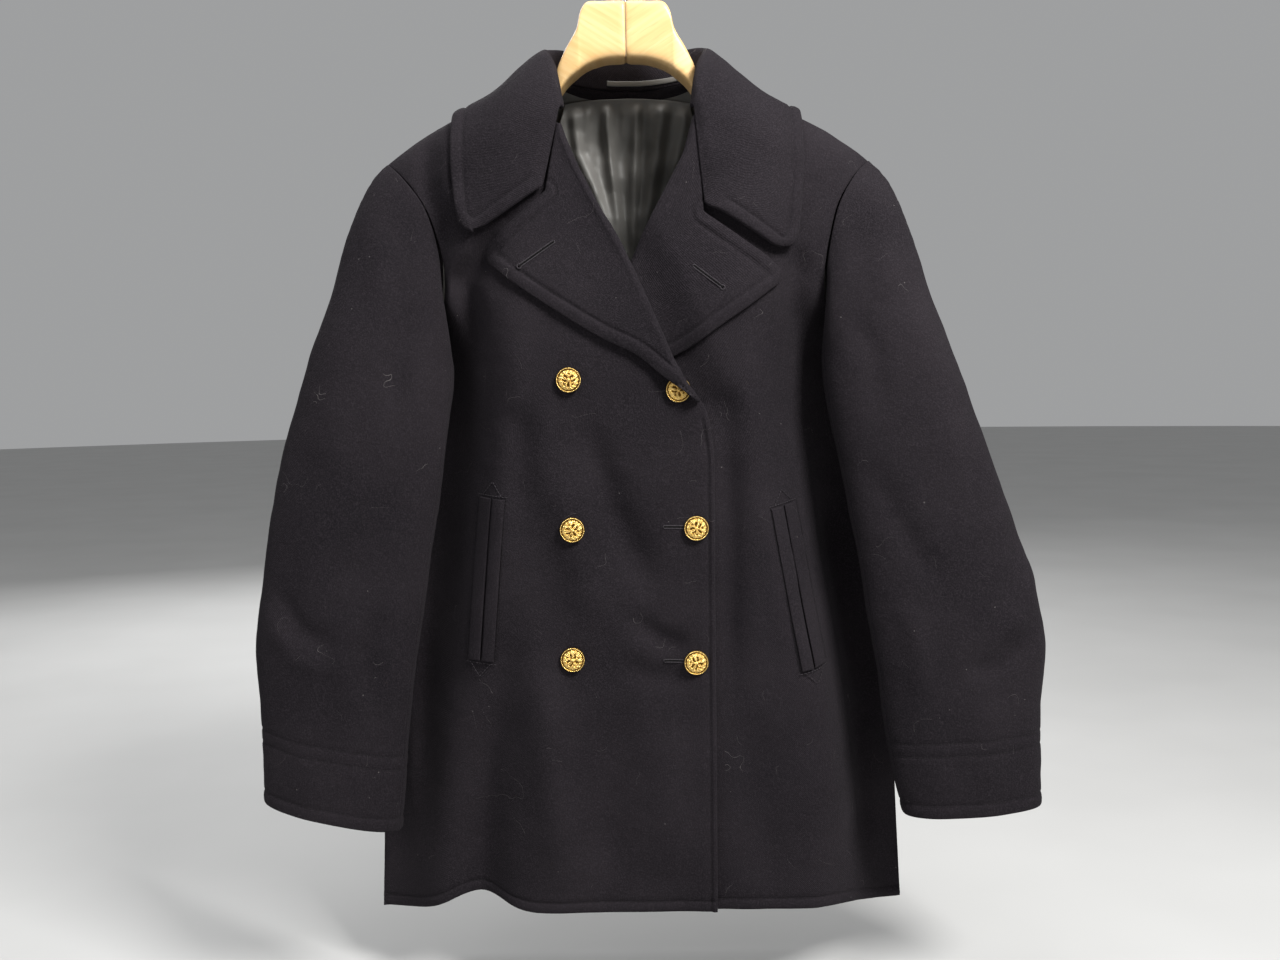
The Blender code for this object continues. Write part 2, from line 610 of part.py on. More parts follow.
def lapels():
    for side, word in ((-1, "right"), (1, "left")):
        grid = pull_in(lapel_grid(side))
        inner = grid.copy()
        inner[:, :, 1] += LAPEL_WALL
        two_skins("lapel_" + word, grid, inner, CLOTH)


COLLAR_STATIONS = 33
LEAF_COLUMNS = 8
STAND_COLUMNS = 3
STAND_WALL = 0.0024
STAND_INSIDE = 0.0045    # the stand's inner face lies this far inside the fold


def collar_rows():
    """Outer and inner skin of the collar: stand up inside, fold, leaf down outside."""
    outer, inner = [], []
    table = np.column_stack([np.arange(len(COLLAR)), COLLAR])
    v = np.linspace(0, 1, LEAF_COLUMNS)
    for s in np.linspace(-1, 1, COLLAR_STATIONS):
        side = -1 if s < 0 else 1
        at = (1 - abs(s)) * (len(COLLAR) - 1)
        fold_x, fold_w, edge_xx, edge_w, stand_out, stand_up = [
            column(table, at, c) for c in range(1, 7)]
        front = max(0.0, 1 - at / 2.2)
        edge_w = edge_w + COLLAR_RISE[side] * min(1.0, 1.6 * front)
        gorge_x, gorge_z = GORGE_END[side]
        gorge_w = way_down(gorge_x, gorge_z)
        tent = (1 - np.abs(2 * v - 1)) * front ** 1.3
        x = fold_x + (edge_xx - fold_x) * v + (abs(gorge_x) - (fold_x + edge_xx) / 2) * tent
        w = fold_w + (edge_w - fold_w) * v + (gorge_w - (fold_w + edge_w) / 2) * tent
        turn = (1 - smooth(1.25 * v)) ** 1.5
        flat = COLLAR_EDGE_LIFT + (LAPEL_WALL + 0.0004) * max(0.0, 1 - at / 2.8)
        up = np.array([0.0, 0.0, 1.0]) * (stand_up * turn)[:, None]
        leaf = drape(side * x, w, flat + COLLAR_WALL + stand_out * turn) + up
        under = drape(side * x, w, flat + stand_out * turn) + up * 0.97
        crown = leaf[0]
        neck_in = unit(np.array([-crown[0], 0.012 - crown[1], 0.0]))
        foot = drape(side * (fold_x + 0.001), fold_w, 0.0038)
        stand_in, stand_outer = [], []
        for k in range(1, STAND_COLUMNS + 1):
            f = k / STAND_COLUMNS
            p = crown + (foot - crown) * f - np.array([0, 0, 0.001])
            p = p + neck_in * STAND_INSIDE * min(1.0, 2 * f)
            stand_in.append(p)
            stand_outer.append(p - neck_in * STAND_WALL)
        outer.append(np.concatenate([np.array(stand_in)[::-1], leaf]))
        inner.append(np.concatenate([np.array(stand_outer)[::-1], under]))
    return np.array(outer), np.array(inner)


def collar():
    outer, inner = collar_rows()
    two_skins("collar", outer, inner, CLOTH)


# ---- trimmings -----------------------------------------------------------------------
def on_front(x, z, off):
    """Point off the front's outer face, over front or under front."""
    p = drape(x, way_down(x, z), 0)
    p = p.copy()
    p[..., 1] -= off
    p[..., 1] += np.where(x > OVER_FRONT_EDGE[:, 0].max(), under_shift(x, z), 0.0)
    return p


def lathe(name, profile, centre, spec, segments=16):
    """Turned piece with its axis along -Y; profile rows are radius and height."""
    verts, faces = [], []
    for r, h in profile:
        for k in range(segments):
            a = 2 * math.pi * k / segments
            verts.append((centre[0] + r * math.cos(a), centre[1] - h, centre[2] + r * math.sin(a)))
    for i in range(len(profile) - 1):
        for k in range(segments):
            a, b = i * segments + k, i * segments + (k + 1) % segments
            faces.append([a, b, b + segments, a + segments])
    last = (len(profile) - 1) * segments
    faces.append(list(range(segments))[::-1])
    faces.append([last + k for k in range(segments)])
    return add_object(name, np.array(verts), faces, spec)


def buttons():
    r, t = BUTTON_DIAMETER / 2, BUTTON_THICK
    profile = [(0.60 * r, 0), (r, 0.30 * t), (0.97 * r, 0.62 * t), (0.55 * r, 0.92 * t), (0.15 * r, t)]
    for k, (x, z) in enumerate(BUTTONS):
        p = on_front(np.array(x), np.array(z), 0.0009)
        lathe("button_%d" % (k + 1), profile, p, BRASS)


WELT_SLIT = 0.0006       # half of the slit between the two welts of a pocket
WELT_AIR = 0.0004        # air between a welt and the front


def pocket_welts():
    for side, word in ((-1, "right"), (1, "left")):
        (x0, z0), (x1, z1) = POCKETS[side]
        down = unit(np.array([x1 - x0, z1 - z0]))
        across = np.array([-down[1], down[0]])
        for sign, which in ((-1, "outer"), (1, "inner")):
            rows = []
            for t in np.linspace(0, 1, 7):
                mid = np.array([x0 + (x1 - x0) * t, z0 + (z1 - z0) * t])
                row = []
                for v in np.linspace(WELT_SLIT, POCKET_WELT, 4):
                    q = mid + across * v * sign * side
                    row.append(on_front(q[0], q[1], WELT_THICK + WELT_AIR))
                rows.append(row)
            grid = np.array(rows)
            inner = grid.copy()
            inner[:, :, 1] += WELT_THICK
            two_skins("welt_%s_%s" % (which, word), grid, inner, CLOTH)


# ---- lining, hanger and hook ----------------------------------------------------------
LINING_WALL = 0.0012
LINING_COLUMNS = 37
LINING_ROWS = 6
GATHERS = 9
GATHER_HALF = 0.0026     # half of a gather's depth
LINING_INSIDE = 0.0062   # the lining lies this far inside the back's outer face
LINING_TOP = 0.046       # ways from the shoulder ridge to the lining's top and foot
LINING_FOOT = 0.330
LINING_HALF = 0.115      # half-width at the foot
LINING_NECK = 0.52       # width at the top, as part of that at the foot
LINING_DROP = 0.003


def lining():
    xs = np.linspace(-LINING_HALF, LINING_HALF, LINING_COLUMNS)
    phase = 2 * math.pi * GATHERS * (xs - xs[0]) / (xs[-1] - xs[0])
    rows = []
    for k in range(LINING_ROWS):
        t = (k / (LINING_ROWS - 1)) ** 1.5
        wave = GATHER_HALF * smooth(k / 2.0) * (1 + np.cos(phase))
        width = LINING_NECK + (1 - LINING_NECK) * smooth(2.5 * t)
        row = drape(xs * width, LINING_TOP + (LINING_FOOT - LINING_TOP) * t)
        row[:, 1] -= LINING_INSIDE + wave
        row[:, 2] -= LINING_DROP
        rows.append(row)
    grid = np.array(rows)
    inner = grid.copy()
    inner[:, :, 1] += LINING_WALL
    two_skins("lining_back", grid, inner, LINING)


LOOP_FROM_X = -0.020
LOOP_TO_X = 0.052
LOOP_TOP = 0.25          # way from the middle of the collar stand to its foot
LOOP_FOOT = 0.68
LOOP_STAND_OFF = 0.0010
LOOP_WALL = 0.0012


def hanging_loop():
    """Strap inside the back of the neck, a little off the collar stand."""
    outer, _ = collar_rows()
    foot, middle = outer[:, 0], outer[:, 1]
    keep = (middle[:, 0] > LOOP_FROM_X) & (middle[:, 0] < LOOP_TO_X)
    foot, middle = foot[keep], middle[keep]
    edges = np.stack([middle + (foot - middle) * way for way in (LOOP_TOP, LOOP_FOOT)], 1)
    ahead = unit(edges * (-1, -1, 0) + (0, 0.012, 0))
    back = edges + ahead * LOOP_STAND_OFF
    two_skins("hanging_loop", back + ahead * LOOP_WALL, back, LINING)


# wooden hanger: half-width x, top z, bottom z, depth of the middle y, half-thickness
HANGER = np.array([
    (0.0002, -0.0700, -0.1205, 0.000, 0.0165),
    (0.0200, -0.0705, -0.1220, 0.000, 0.0165),
    (0.0360, -0.0725, -0.1275, 0.000, 0.0165),
    (0.0385, -0.0760, -0.1290, 0.000, 0.0165),
    (0.0440, -0.0950, -0.1330, 0.000, 0.0165),
    (0.0530, -0.1100, -0.1400, 0.002, 0.0165),
    (0.0605, -0.1245, -0.1490, 0.004, 0.0160),
    (0.0650, -0.1345, -0.1540, 0.006, 0.0150),
    (0.0720, -0.1390, -0.1600, 0.006, 0.0140),
    (0.0820, -0.1440, -0.1680, 0.006, 0.0145),
    (0.1000, -0.1530, -0.1800, 0.006, 0.0170),
    (0.1400, -0.1730, -0.2000, 0.005, 0.0175),
    (0.1800, -0.1940, -0.2170, 0.005, 0.0165),
    (0.1990, -0.2090, -0.2260, 0.005, 0.0125)])
HANGER_CORNERS = 16


def hanger():
    for side, word in ((-1, "right"), (1, "left")):
        rings = []
        for x, top, bottom, y_mid, half_y in HANGER:
            a = np.linspace(0, 2 * math.pi, HANGER_CORNERS, endpoint=False) + math.pi / HANGER_CORNERS
            c, s = np.cos(a), np.sin(a)
            y = y_mid + half_y * np.sign(c) * np.abs(c) ** 0.35
            z = (top + bottom) / 2 + (top - bottom) / 2 * np.sign(s) * np.abs(s) ** 0.35
            z = z - SHOULDER_TILT * side * x
            rings.append(np.stack([np.full_like(y, side * x), y, z], -1))
        tube("hanger_" + word, np.array(rings), WOOD)


HOOK_WIRE = 0.0019       # radius of the hook's wire
HOOK_BEND = 0.0200       # radius of the hook's bend
HOOK_SIDES = 6


def hook():
    """Wire hook; the inside of its bend bears on the rail at the origin."""
    centre_z = HOOK_WIRE - HOOK_BEND
    path = [(0.0, 0.0, -0.0694), (0.0, 0.0, -0.0580), (0.001, 0.0, -0.0470)]
    for degrees in range(-60, 200, 20):
        turn = math.radians(degrees)
        path.append((HOOK_BEND * math.cos(turn), 0.0, centre_z + HOOK_BEND * math.sin(turn)))
    centre = curve(np.array(path), np.linspace(0, 1, 30))
    tangent = unit(np.gradient(centre, axis=0))
    sideways = np.array([0.0, 1.0, 0.0])
    around = np.linspace(0, 2 * math.pi, HOOK_SIDES, endpoint=False)[:, None]
    rings = [point + HOOK_WIRE * (np.cos(around) * sideways + np.sin(around) * np.cross(sideways, way))
             for point, way in zip(centre, tangent)]
    tube("hook", np.array(rings), STEEL)


def build():
    for old in list(bpy.data.objects):
        bpy.data.objects.remove(old, do_unlink=True)
    body_panels()
    sleeves()
    lapels()
    collar()
    pocket_welts()
    buttons()
    lining()
    hanging_loop()
    hanger()
    hook()


build()
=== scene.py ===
"""Looks of a double-breasted wool pea coat on its wooden hanger.

Metres, +Z up; the origin is where the hanger's hook bears. The front faces -Y and +X is
the wearer's left. SIDE is -1 for the wearer's right half and +1 for the left half.
Every cloth piece is a grid of points: rows run down, columns run outwards.
"""
import math

import bpy
import numpy as np
from mathutils import Matrix, Vector

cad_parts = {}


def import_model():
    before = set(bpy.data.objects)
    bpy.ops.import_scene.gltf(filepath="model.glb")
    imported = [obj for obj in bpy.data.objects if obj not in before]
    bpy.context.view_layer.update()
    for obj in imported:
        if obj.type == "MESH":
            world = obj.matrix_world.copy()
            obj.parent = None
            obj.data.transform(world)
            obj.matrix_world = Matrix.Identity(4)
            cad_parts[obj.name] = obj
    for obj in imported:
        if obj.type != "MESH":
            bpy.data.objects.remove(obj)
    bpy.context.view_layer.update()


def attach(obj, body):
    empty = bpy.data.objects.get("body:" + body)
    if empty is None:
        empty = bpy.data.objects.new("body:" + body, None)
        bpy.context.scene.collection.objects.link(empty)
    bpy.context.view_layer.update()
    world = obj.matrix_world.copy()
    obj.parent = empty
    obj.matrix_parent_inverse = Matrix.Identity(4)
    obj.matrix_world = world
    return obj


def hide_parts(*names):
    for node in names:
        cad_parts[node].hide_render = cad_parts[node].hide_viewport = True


SIDES = ((-1, "right"), (1, "left"))
FORWARD, BACKWARD = np.array([0, -1.0, 0]), np.array([0, 1.0, 0])

# ---- cloth and making-up sizes ----------------------------------------------------
WALL = 0.0024            # melton with its lining
LAPEL_WALL = 0.0034
COLLAR_WALL = 0.0042
SEAM_ALLOWANCE = 0.014   # inside, the outer cloth shows this far in from every edge
SEAM = 0.00002           # half of the gap between two sewn pieces
LAP_GAP = 0.0012         # air between the two overlapping fronts
GRID = 0.0037            # spacing of the points of a cloth piece
EDGE_MARKS = (0.0, 0.0003, 0.0009, 0.0018, 0.0032)
EDGE_ROUND = 0.0020      # how far in from an edge its rounding starts
EDGE_SHARE = 0.42        # depth of that rounding, as part of the wall
UNEVEN = ((0.00045, 0.060, 3), (0.00016, 0.021, 4))   # height, size and seed of its waves
PUFFED_BORDER = 0.02     # a border narrower than this puffs up between edge and stitching
PUFF = 0.0009
STITCH_SPREAD = (-0.0024, -0.0012, 0.0, 0.0012, 0.0024)
STITCH_DEPTH = 0.0012
STITCH_WIDTH = 0.0016
STITCH_LENGTH = 0.0026
STITCH_GAP = 0.0008
THREAD = 0.00022         # radius of the sewing thread
STITCH_RISE = np.array([-1.2, 0.5, 0.8, 0.5, -1.2])    # in radii, from end to end of a stitch
STITCH_GIRTH = np.array([0.5, 0.95, 1, 0.95, 0.5])
COLLAR_STITCH = 0.0115   # topstitching in from the edge of collar and lapels
FRONT_STITCH = 0.0060
HEM_STITCH = 0.0100
CUFF_STITCHES = (0.012, 0.0570, 0.0690)
CUFF_GROOVE = 0.60       # depth of the cuff's stitching, as part of the other lines'

SHOULDER_H_FRONT = 0.060     # height over which the front turns over the shoulder
SHOULDER_H_BACK = 0.075
SIDE_BEND = (0.165, 0.085)   # half-width where the body turns to the side, and how wide
SIDE_SLOPE = 0.25            # how the front goes on falling behind the sleeve
BACK_DEPTH = 0.068
BACK_FALL = 0.030            # how much less deep the back is at the side
BACK_HOLLOW = 0.004          # and how much less deep it is below the shoulders
BACK_HOLLOW_FROM = (-0.2, 0.2)
HEM_CENTRE_Z = -0.8965
HEM_SIDE_Z = -0.9165
FLUTE_X = 0.126          # the flute's middle, on the wearer's right, and its lean outwards
FLUTE_LEAN = 0.026
FLUTE_LEAN_FROM = (-0.56, 0.34)    # height where it starts to lean, and over what height
FLUTE_DEPTH = 0.030
FLUTE_FROM = (-0.52, 0.36)         # and where it starts to deepen
FLUTE_WIDTH = 0.028
FLUTE_LIFT = 0.011
HEM_FLUTE_WIDTH = 0.034

# shoulder ridge: half-width x, depth y, height z
RIDGE = np.array([
    (0.000, 0.014, -0.1230),
    (0.040, 0.013, -0.1255),
    (0.074, 0.011, -0.1325),
    (0.100, 0.008, -0.1445),
    (0.140, 0.006, -0.1640),
    (0.180, 0.004, -0.1830),
    (0.200, 0.004, -0.1955),
    (0.222, 0.004, -0.2110),
    (0.260, 0.004, -0.2450)])
SHOULDER_TILT = 0.010

# front of the body: height z, depth at the chest, where the chest starts to fall
# back, where it has fallen behind the sleeve, and the depth there
CHEST = np.array([
    (-0.13, -0.036, 0.050, 0.270, -0.004),
    (-0.20, -0.050, 0.060, 0.270, -0.006),
    (-0.29, -0.058, 0.080, 0.265, -0.010),
    (-0.33, -0.061, 0.090, 0.235, 0.000),
    (-0.37, -0.062, 0.096, 0.200, 0.018),
    (-0.42, -0.062, 0.096, 0.190, 0.023),
    (-0.54, -0.058, 0.110, 0.203, 0.023),
    (-0.66, -0.052, 0.130, 0.222, 0.021),
    (-0.80, -0.046, 0.150, 0.240, 0.019),
    (-0.93, -0.042, 0.158, 0.250, 0.019)])

# side seam: height z, half-width x, depth y
SIDE_SEAM = np.array([
    (-0.380, 0.2250, 0.034),
    (-0.420, 0.2360, 0.038),
    (-0.500, 0.2420, 0.040),
    (-0.650, 0.2460, 0.040),
    (-0.840, 0.2505, 0.034),
    (-0.920, 0.2535, 0.030)])

# armhole, from the shoulder point down the front to the underarm and up the back
ARMHOLE_FRONT = np.array([
    (0.2200, 0.004, -0.2105),
    (0.2030, -0.018, -0.2270),
    (0.1880, -0.028, -0.2520),
    (0.1790, -0.032, -0.2850),
    (0.1750, -0.030, -0.3180),
    (0.1800, -0.017, -0.3450),
    (0.1985, 0.008, -0.3660),
    (0.2250, 0.034, -0.3800)])
ARMHOLE_BACK = np.array([
    (0.2200, 0.004, -0.2105),
    (0.2080, 0.036, -0.2300),
    (0.2000, 0.055, -0.2600),
    (0.1980, 0.060, -0.3000),
    (0.2030, 0.056, -0.3450),
    (0.2250, 0.034, -0.3800)])
ARMHOLE_IN = {-1: 0.009, 1: 0.001}
ARMHOLE_FOLD = 4
UNDERARM_WAY = 20 / 28       # way round the sleeve where it starts at the underarm
UNDERARM_OUT = 0.0008
UNDERARM_UP = 0.0008
SLEEVE_STAND_OUT = 0.0010
ARMHOLE_MIDDLE_Y = 0.045

# sleeves: height of the outer fold, its x, x of the inner fold, depth of the middle,
# half the depth, and how much lower the inner fold lies
SLEEVE = {
    -1: np.array([
        (-0.345, -0.2735, -0.1600, -0.026, 0.034, 0.048),
        (-0.382, -0.2875, -0.1605, -0.029, 0.034, 0.032),
        (-0.416, -0.2985, -0.1645, -0.031, 0.034, 0.020),
        (-0.455, -0.3100, -0.1690, -0.034, 0.033, 0.012),
        (-0.500, -0.3215, -0.1749, -0.037, 0.032, 0.012),
        (-0.570, -0.3337, -0.1869, -0.040, 0.031, 0.012),
        (-0.630, -0.3422, -0.1963, -0.042, 0.031, 0.012),
        (-0.665, -0.3435, -0.2025, -0.043, 0.030, 0.012),
        (-0.710, -0.3405, -0.2083, -0.044, 0.029, 0.013),
        (-0.755, -0.3405, -0.2128, -0.045, 0.028, 0.018),
        (-0.783, -0.3410, -0.2165, -0.045, 0.028, 0.029)]),
    1: np.array([
        (-0.345, 0.2710, 0.1710, -0.026, 0.034, 0.048),
        (-0.382, 0.2850, 0.1722, -0.029, 0.034, 0.032),
        (-0.416, 0.2975, 0.1755, -0.031, 0.034, 0.020),
        (-0.455, 0.3115, 0.1815, -0.034, 0.033, 0.012),
        (-0.500, 0.3266, 0.1904, -0.037, 0.032, 0.012),
        (-0.570, 0.3505, 0.2026, -0.040, 0.031, 0.012),
        (-0.630, 0.3650, 0.2118, -0.042, 0.031, 0.012),
        (-0.665, 0.3684, 0.2170, -0.043, 0.030, 0.012),
        (-0.710, 0.3640, 0.2229, -0.044, 0.029, 0.010),
        (-0.760, 0.3650, 0.2303, -0.045, 0.028, 0.008),
        (-0.798, 0.3650, 0.2395, -0.045, 0.028, 0.008)])}
SLEEVE_COLUMNS = 168
UNDER_SLEEVE_FROM = 13 / 28    # way round the sleeve where the under sleeve starts
UNDER_SLEEVE_WAY = 10 / 28
CAP_BULGE = 0.009
SLEEVE_STAND = 0.0024

# inner edge of each front, from the neck point down the roll line and front edge: x, z
FRONT_EDGE = {
    -1: np.array([
        (-0.0740, -0.1325), (-0.0680, -0.1560), (-0.0590, -0.1811), (-0.0430, -0.2213),
        (-0.0260, -0.2551), (-0.0080, -0.2874), (0.0070, -0.3189), (0.0275, -0.3661),
        (0.0500, -0.4136), (0.0625, -0.4312), (0.0700, -0.4620), (0.0714, -0.5149),
        (0.0711, -0.6040), (0.0708, -0.6943), (0.0705, -0.7858), (0.0697, -0.9200)]),
    1: np.array([
        (0.0740, -0.1325), (0.0680, -0.1560), (0.0590, -0.1761), (0.0475, -0.2136),
        (0.0295, -0.2468), (0.0115, -0.2820), (-0.0060, -0.3190), (-0.0260, -0.3661),
        (-0.0480, -0.4136), (-0.0590, -0.4340), (-0.0640, -0.4700), (-0.0650, -0.5149),
        (-0.0650, -0.6040), (-0.0650, -0.6943), (-0.0650, -0.7858), (-0.0650, -0.9200)])}

# lapel outlines: from the notch along the upper edge to the tip and down to the break
LAPEL_OUTLINE = {
    -1: np.array([
        (-0.0720, -0.2440), (-0.0905, -0.2590), (-0.1145, -0.2790), (-0.1262, -0.2920),
        (-0.1262, -0.3000), (-0.1150, -0.3110), (-0.0740, -0.3410), (-0.0264, -0.3710),
        (0.0076, -0.3887), (0.0240, -0.4030), (0.0400, -0.4150), (0.0560, -0.4240)]),
    1: np.array([
        (0.0650, -0.2640), (0.0990, -0.2880), (0.1275, -0.3090), (0.1345, -0.3165),
        (0.1325, -0.3240), (0.1215, -0.3330), (0.0790, -0.3620), (0.0440, -0.3850),
        (0.0000, -0.4020), (-0.0400, -0.4130)])}
LAPEL_LIFT = 0.0026
LAPEL_TOP = 0.004
LAPEL_SEAM_ROWS = 0.35
LAPEL_SEAM_ROLL = 0.50
LAPEL_END = 0.970
ROLL = 0.0030
BREAK_Z = {-1: -0.4270, 1: -0.4136}

# collar stations from the front point, over the shoulder, to the back: the fold line and
# the outer edge, each as half-width x and the way w from the shoulder ridge
# (front -, back +), then how far the fold stands out from and up from the shoulder
COLLAR = np.array([
    (0.0575, -0.0785, 0.1350, -0.1610, 0.0030, 0.0000),
    (0.0610, -0.0540, 0.1480, -0.1400, 0.0040, 0.0010),
    (0.0650, -0.0330, 0.1530, -0.0950, 0.0050, 0.0040),
    (0.0705, -0.0120, 0.1560, -0.0420, 0.0040, 0.0120),
    (0.0705, 0.0080, 0.1555, 0.0020, 0.0020, 0.0200),
    (0.0590, 0.0260, 0.1440, 0.0450, 0.0010, 0.0290),
    (0.0370, 0.0370, 0.1080, 0.0880, 0.0000, 0.0330),
    (0.0160, 0.0410, 0.0520, 0.1080, 0.0000, 0.0330),
    (0.0000, 0.0420, 0.0000, 0.1120, 0.0000, 0.0330)])
GORGE_END = {-1: (-0.0735, -0.2400), 1: (0.0655, -0.2580)}
COLLAR_RISE = {-1: 0.0170, 1: 0.0}
COLLAR_EDGE_LIFT = 0.0026
STAND_INSIDE = 0.0045

BUTTON_DIAMETER = 0.0222
BUTTON_THICK = 0.0050
BUTTONS = [(-0.0550, -0.4073), (0.0405, -0.4175), (-0.0546, -0.5385),
           (0.0547, -0.5396), (-0.0574, -0.6565), (0.0532, -0.6615)]
POCKETS = {-1: ((-0.1270, -0.5110), (-0.1420, -0.6595)),
           1: ((0.1345, -0.5225), (0.1605, -0.6700))}
POCKET_WELT = 0.0125
WELT_THICK = 0.0016

# ---- folds, as lines across the cloth seen from the front or back ------------------
# each: its points x, z, its half-width and its height off the cloth (- is a valley)
FOLD_SCALE = 4.2
FOLD_FADE = 0.3          # part of a fold's length over which it fades at each end
FOLD_END = 0.15          # what is left of it there
FRONT_FOLDS = [
    ([(-0.110, -0.270), (-0.146, -0.320), (-0.136, -0.385)], 0.012, -0.0034),
    ([(-0.128, -0.262), (-0.162, -0.312), (-0.158, -0.370)], 0.010, 0.0022),
    ([(-0.190, -0.215), (-0.176, -0.255), (-0.158, -0.292)], 0.010, -0.0012),
    ([(-0.165, -0.200), (-0.158, -0.240), (-0.140, -0.275)], 0.009, 0.0016),
    ([(-0.045, -0.430), (-0.020, -0.520), (0.018, -0.610)], 0.016, -0.0022),
    ([(-0.080, -0.450), (-0.052, -0.560), (-0.030, -0.640)], 0.018, 0.0014),
    ([(0.050, -0.650), (0.020, -0.640), (-0.010, -0.615)], 0.010, -0.0016),
    ([(0.050, -0.672), (0.015, -0.675), (-0.020, -0.660)], 0.012, -0.0012),
    ([(-0.100, -0.420), (-0.098, -0.470), (-0.110, -0.540)], 0.014, -0.0016),
    ([(0.150, -0.285), (0.146, -0.330), (0.150, -0.380)], 0.012, -0.0022),
    ([(0.172, -0.500), (0.196, -0.620), (0.214, -0.730)], 0.012, -0.0036),
    ([(0.150, -0.600), (0.172, -0.720), (0.188, -0.850)], 0.018, 0.0030),
    ([(0.205, -0.700), (0.213, -0.790), (0.217, -0.880)], 0.011, -0.0028),
    ([(-0.205, -0.560), (-0.218, -0.700), (-0.222, -0.860)], 0.012, 0.0026),
    ([(-0.085, -0.640), (-0.080, -0.760), (-0.070, -0.890)], 0.020, 0.0024),
    ([(0.105, -0.700), (0.112, -0.790), (0.118, -0.890)], 0.020, -0.0016),
    ([(0.083, -0.430), (0.086, -0.560), (0.084, -0.700)], 0.010, -0.0018),
    ([(0.030, -0.700), (0.026, -0.790), (0.030, -0.880)], 0.024, 0.0014),
    ([(-0.020, -0.690), (-0.030, -0.790), (-0.026, -0.880)], 0.020, -0.0014)]
BACK_FOLDS = [
    ([(-0.190, -0.300), (-0.150, -0.360), (-0.130, -0.430)], 0.016, -0.0034),
    ([(0.190, -0.300), (0.152, -0.355), (0.128, -0.440)], 0.016, -0.0034),
    ([(-0.170, -0.270), (-0.120, -0.330), (-0.095, -0.410)], 0.018, 0.0022),
    ([(0.170, -0.270), (0.122, -0.335), (0.098, -0.405)], 0.018, 0.0022),
    ([(-0.130, -0.520), (-0.142, -0.700), (-0.150, -0.900)], 0.020, -0.0050),
    ([(-0.092, -0.480), (-0.095, -0.680), (-0.100, -0.900)], 0.022, 0.0034),
    ([(0.130, -0.500), (0.146, -0.700), (0.160, -0.900)], 0.020, -0.0048),
    ([(0.090, -0.490), (0.100, -0.690), (0.108, -0.900)], 0.022, 0.0032),
    ([(0.030, -0.560), (0.045, -0.730), (0.050, -0.900)], 0.020, -0.0030),
    ([(-0.035, -0.580), (-0.048, -0.740), (-0.045, -0.900)], 0.020, -0.0028),
    ([(-0.060, -0.215), (0.000, -0.232), (0.060, -0.215)], 0.014, 0.0016),
    ([(-0.200, -0.440), (-0.204, -0.600), (-0.208, -0.800)], 0.014, 0.0026),
    ([(0.200, -0.440), (0.206, -0.600), (0.212, -0.800)], 0.014, 0.0026)]
SLEEVE_FOLD_SCALE = 1.6
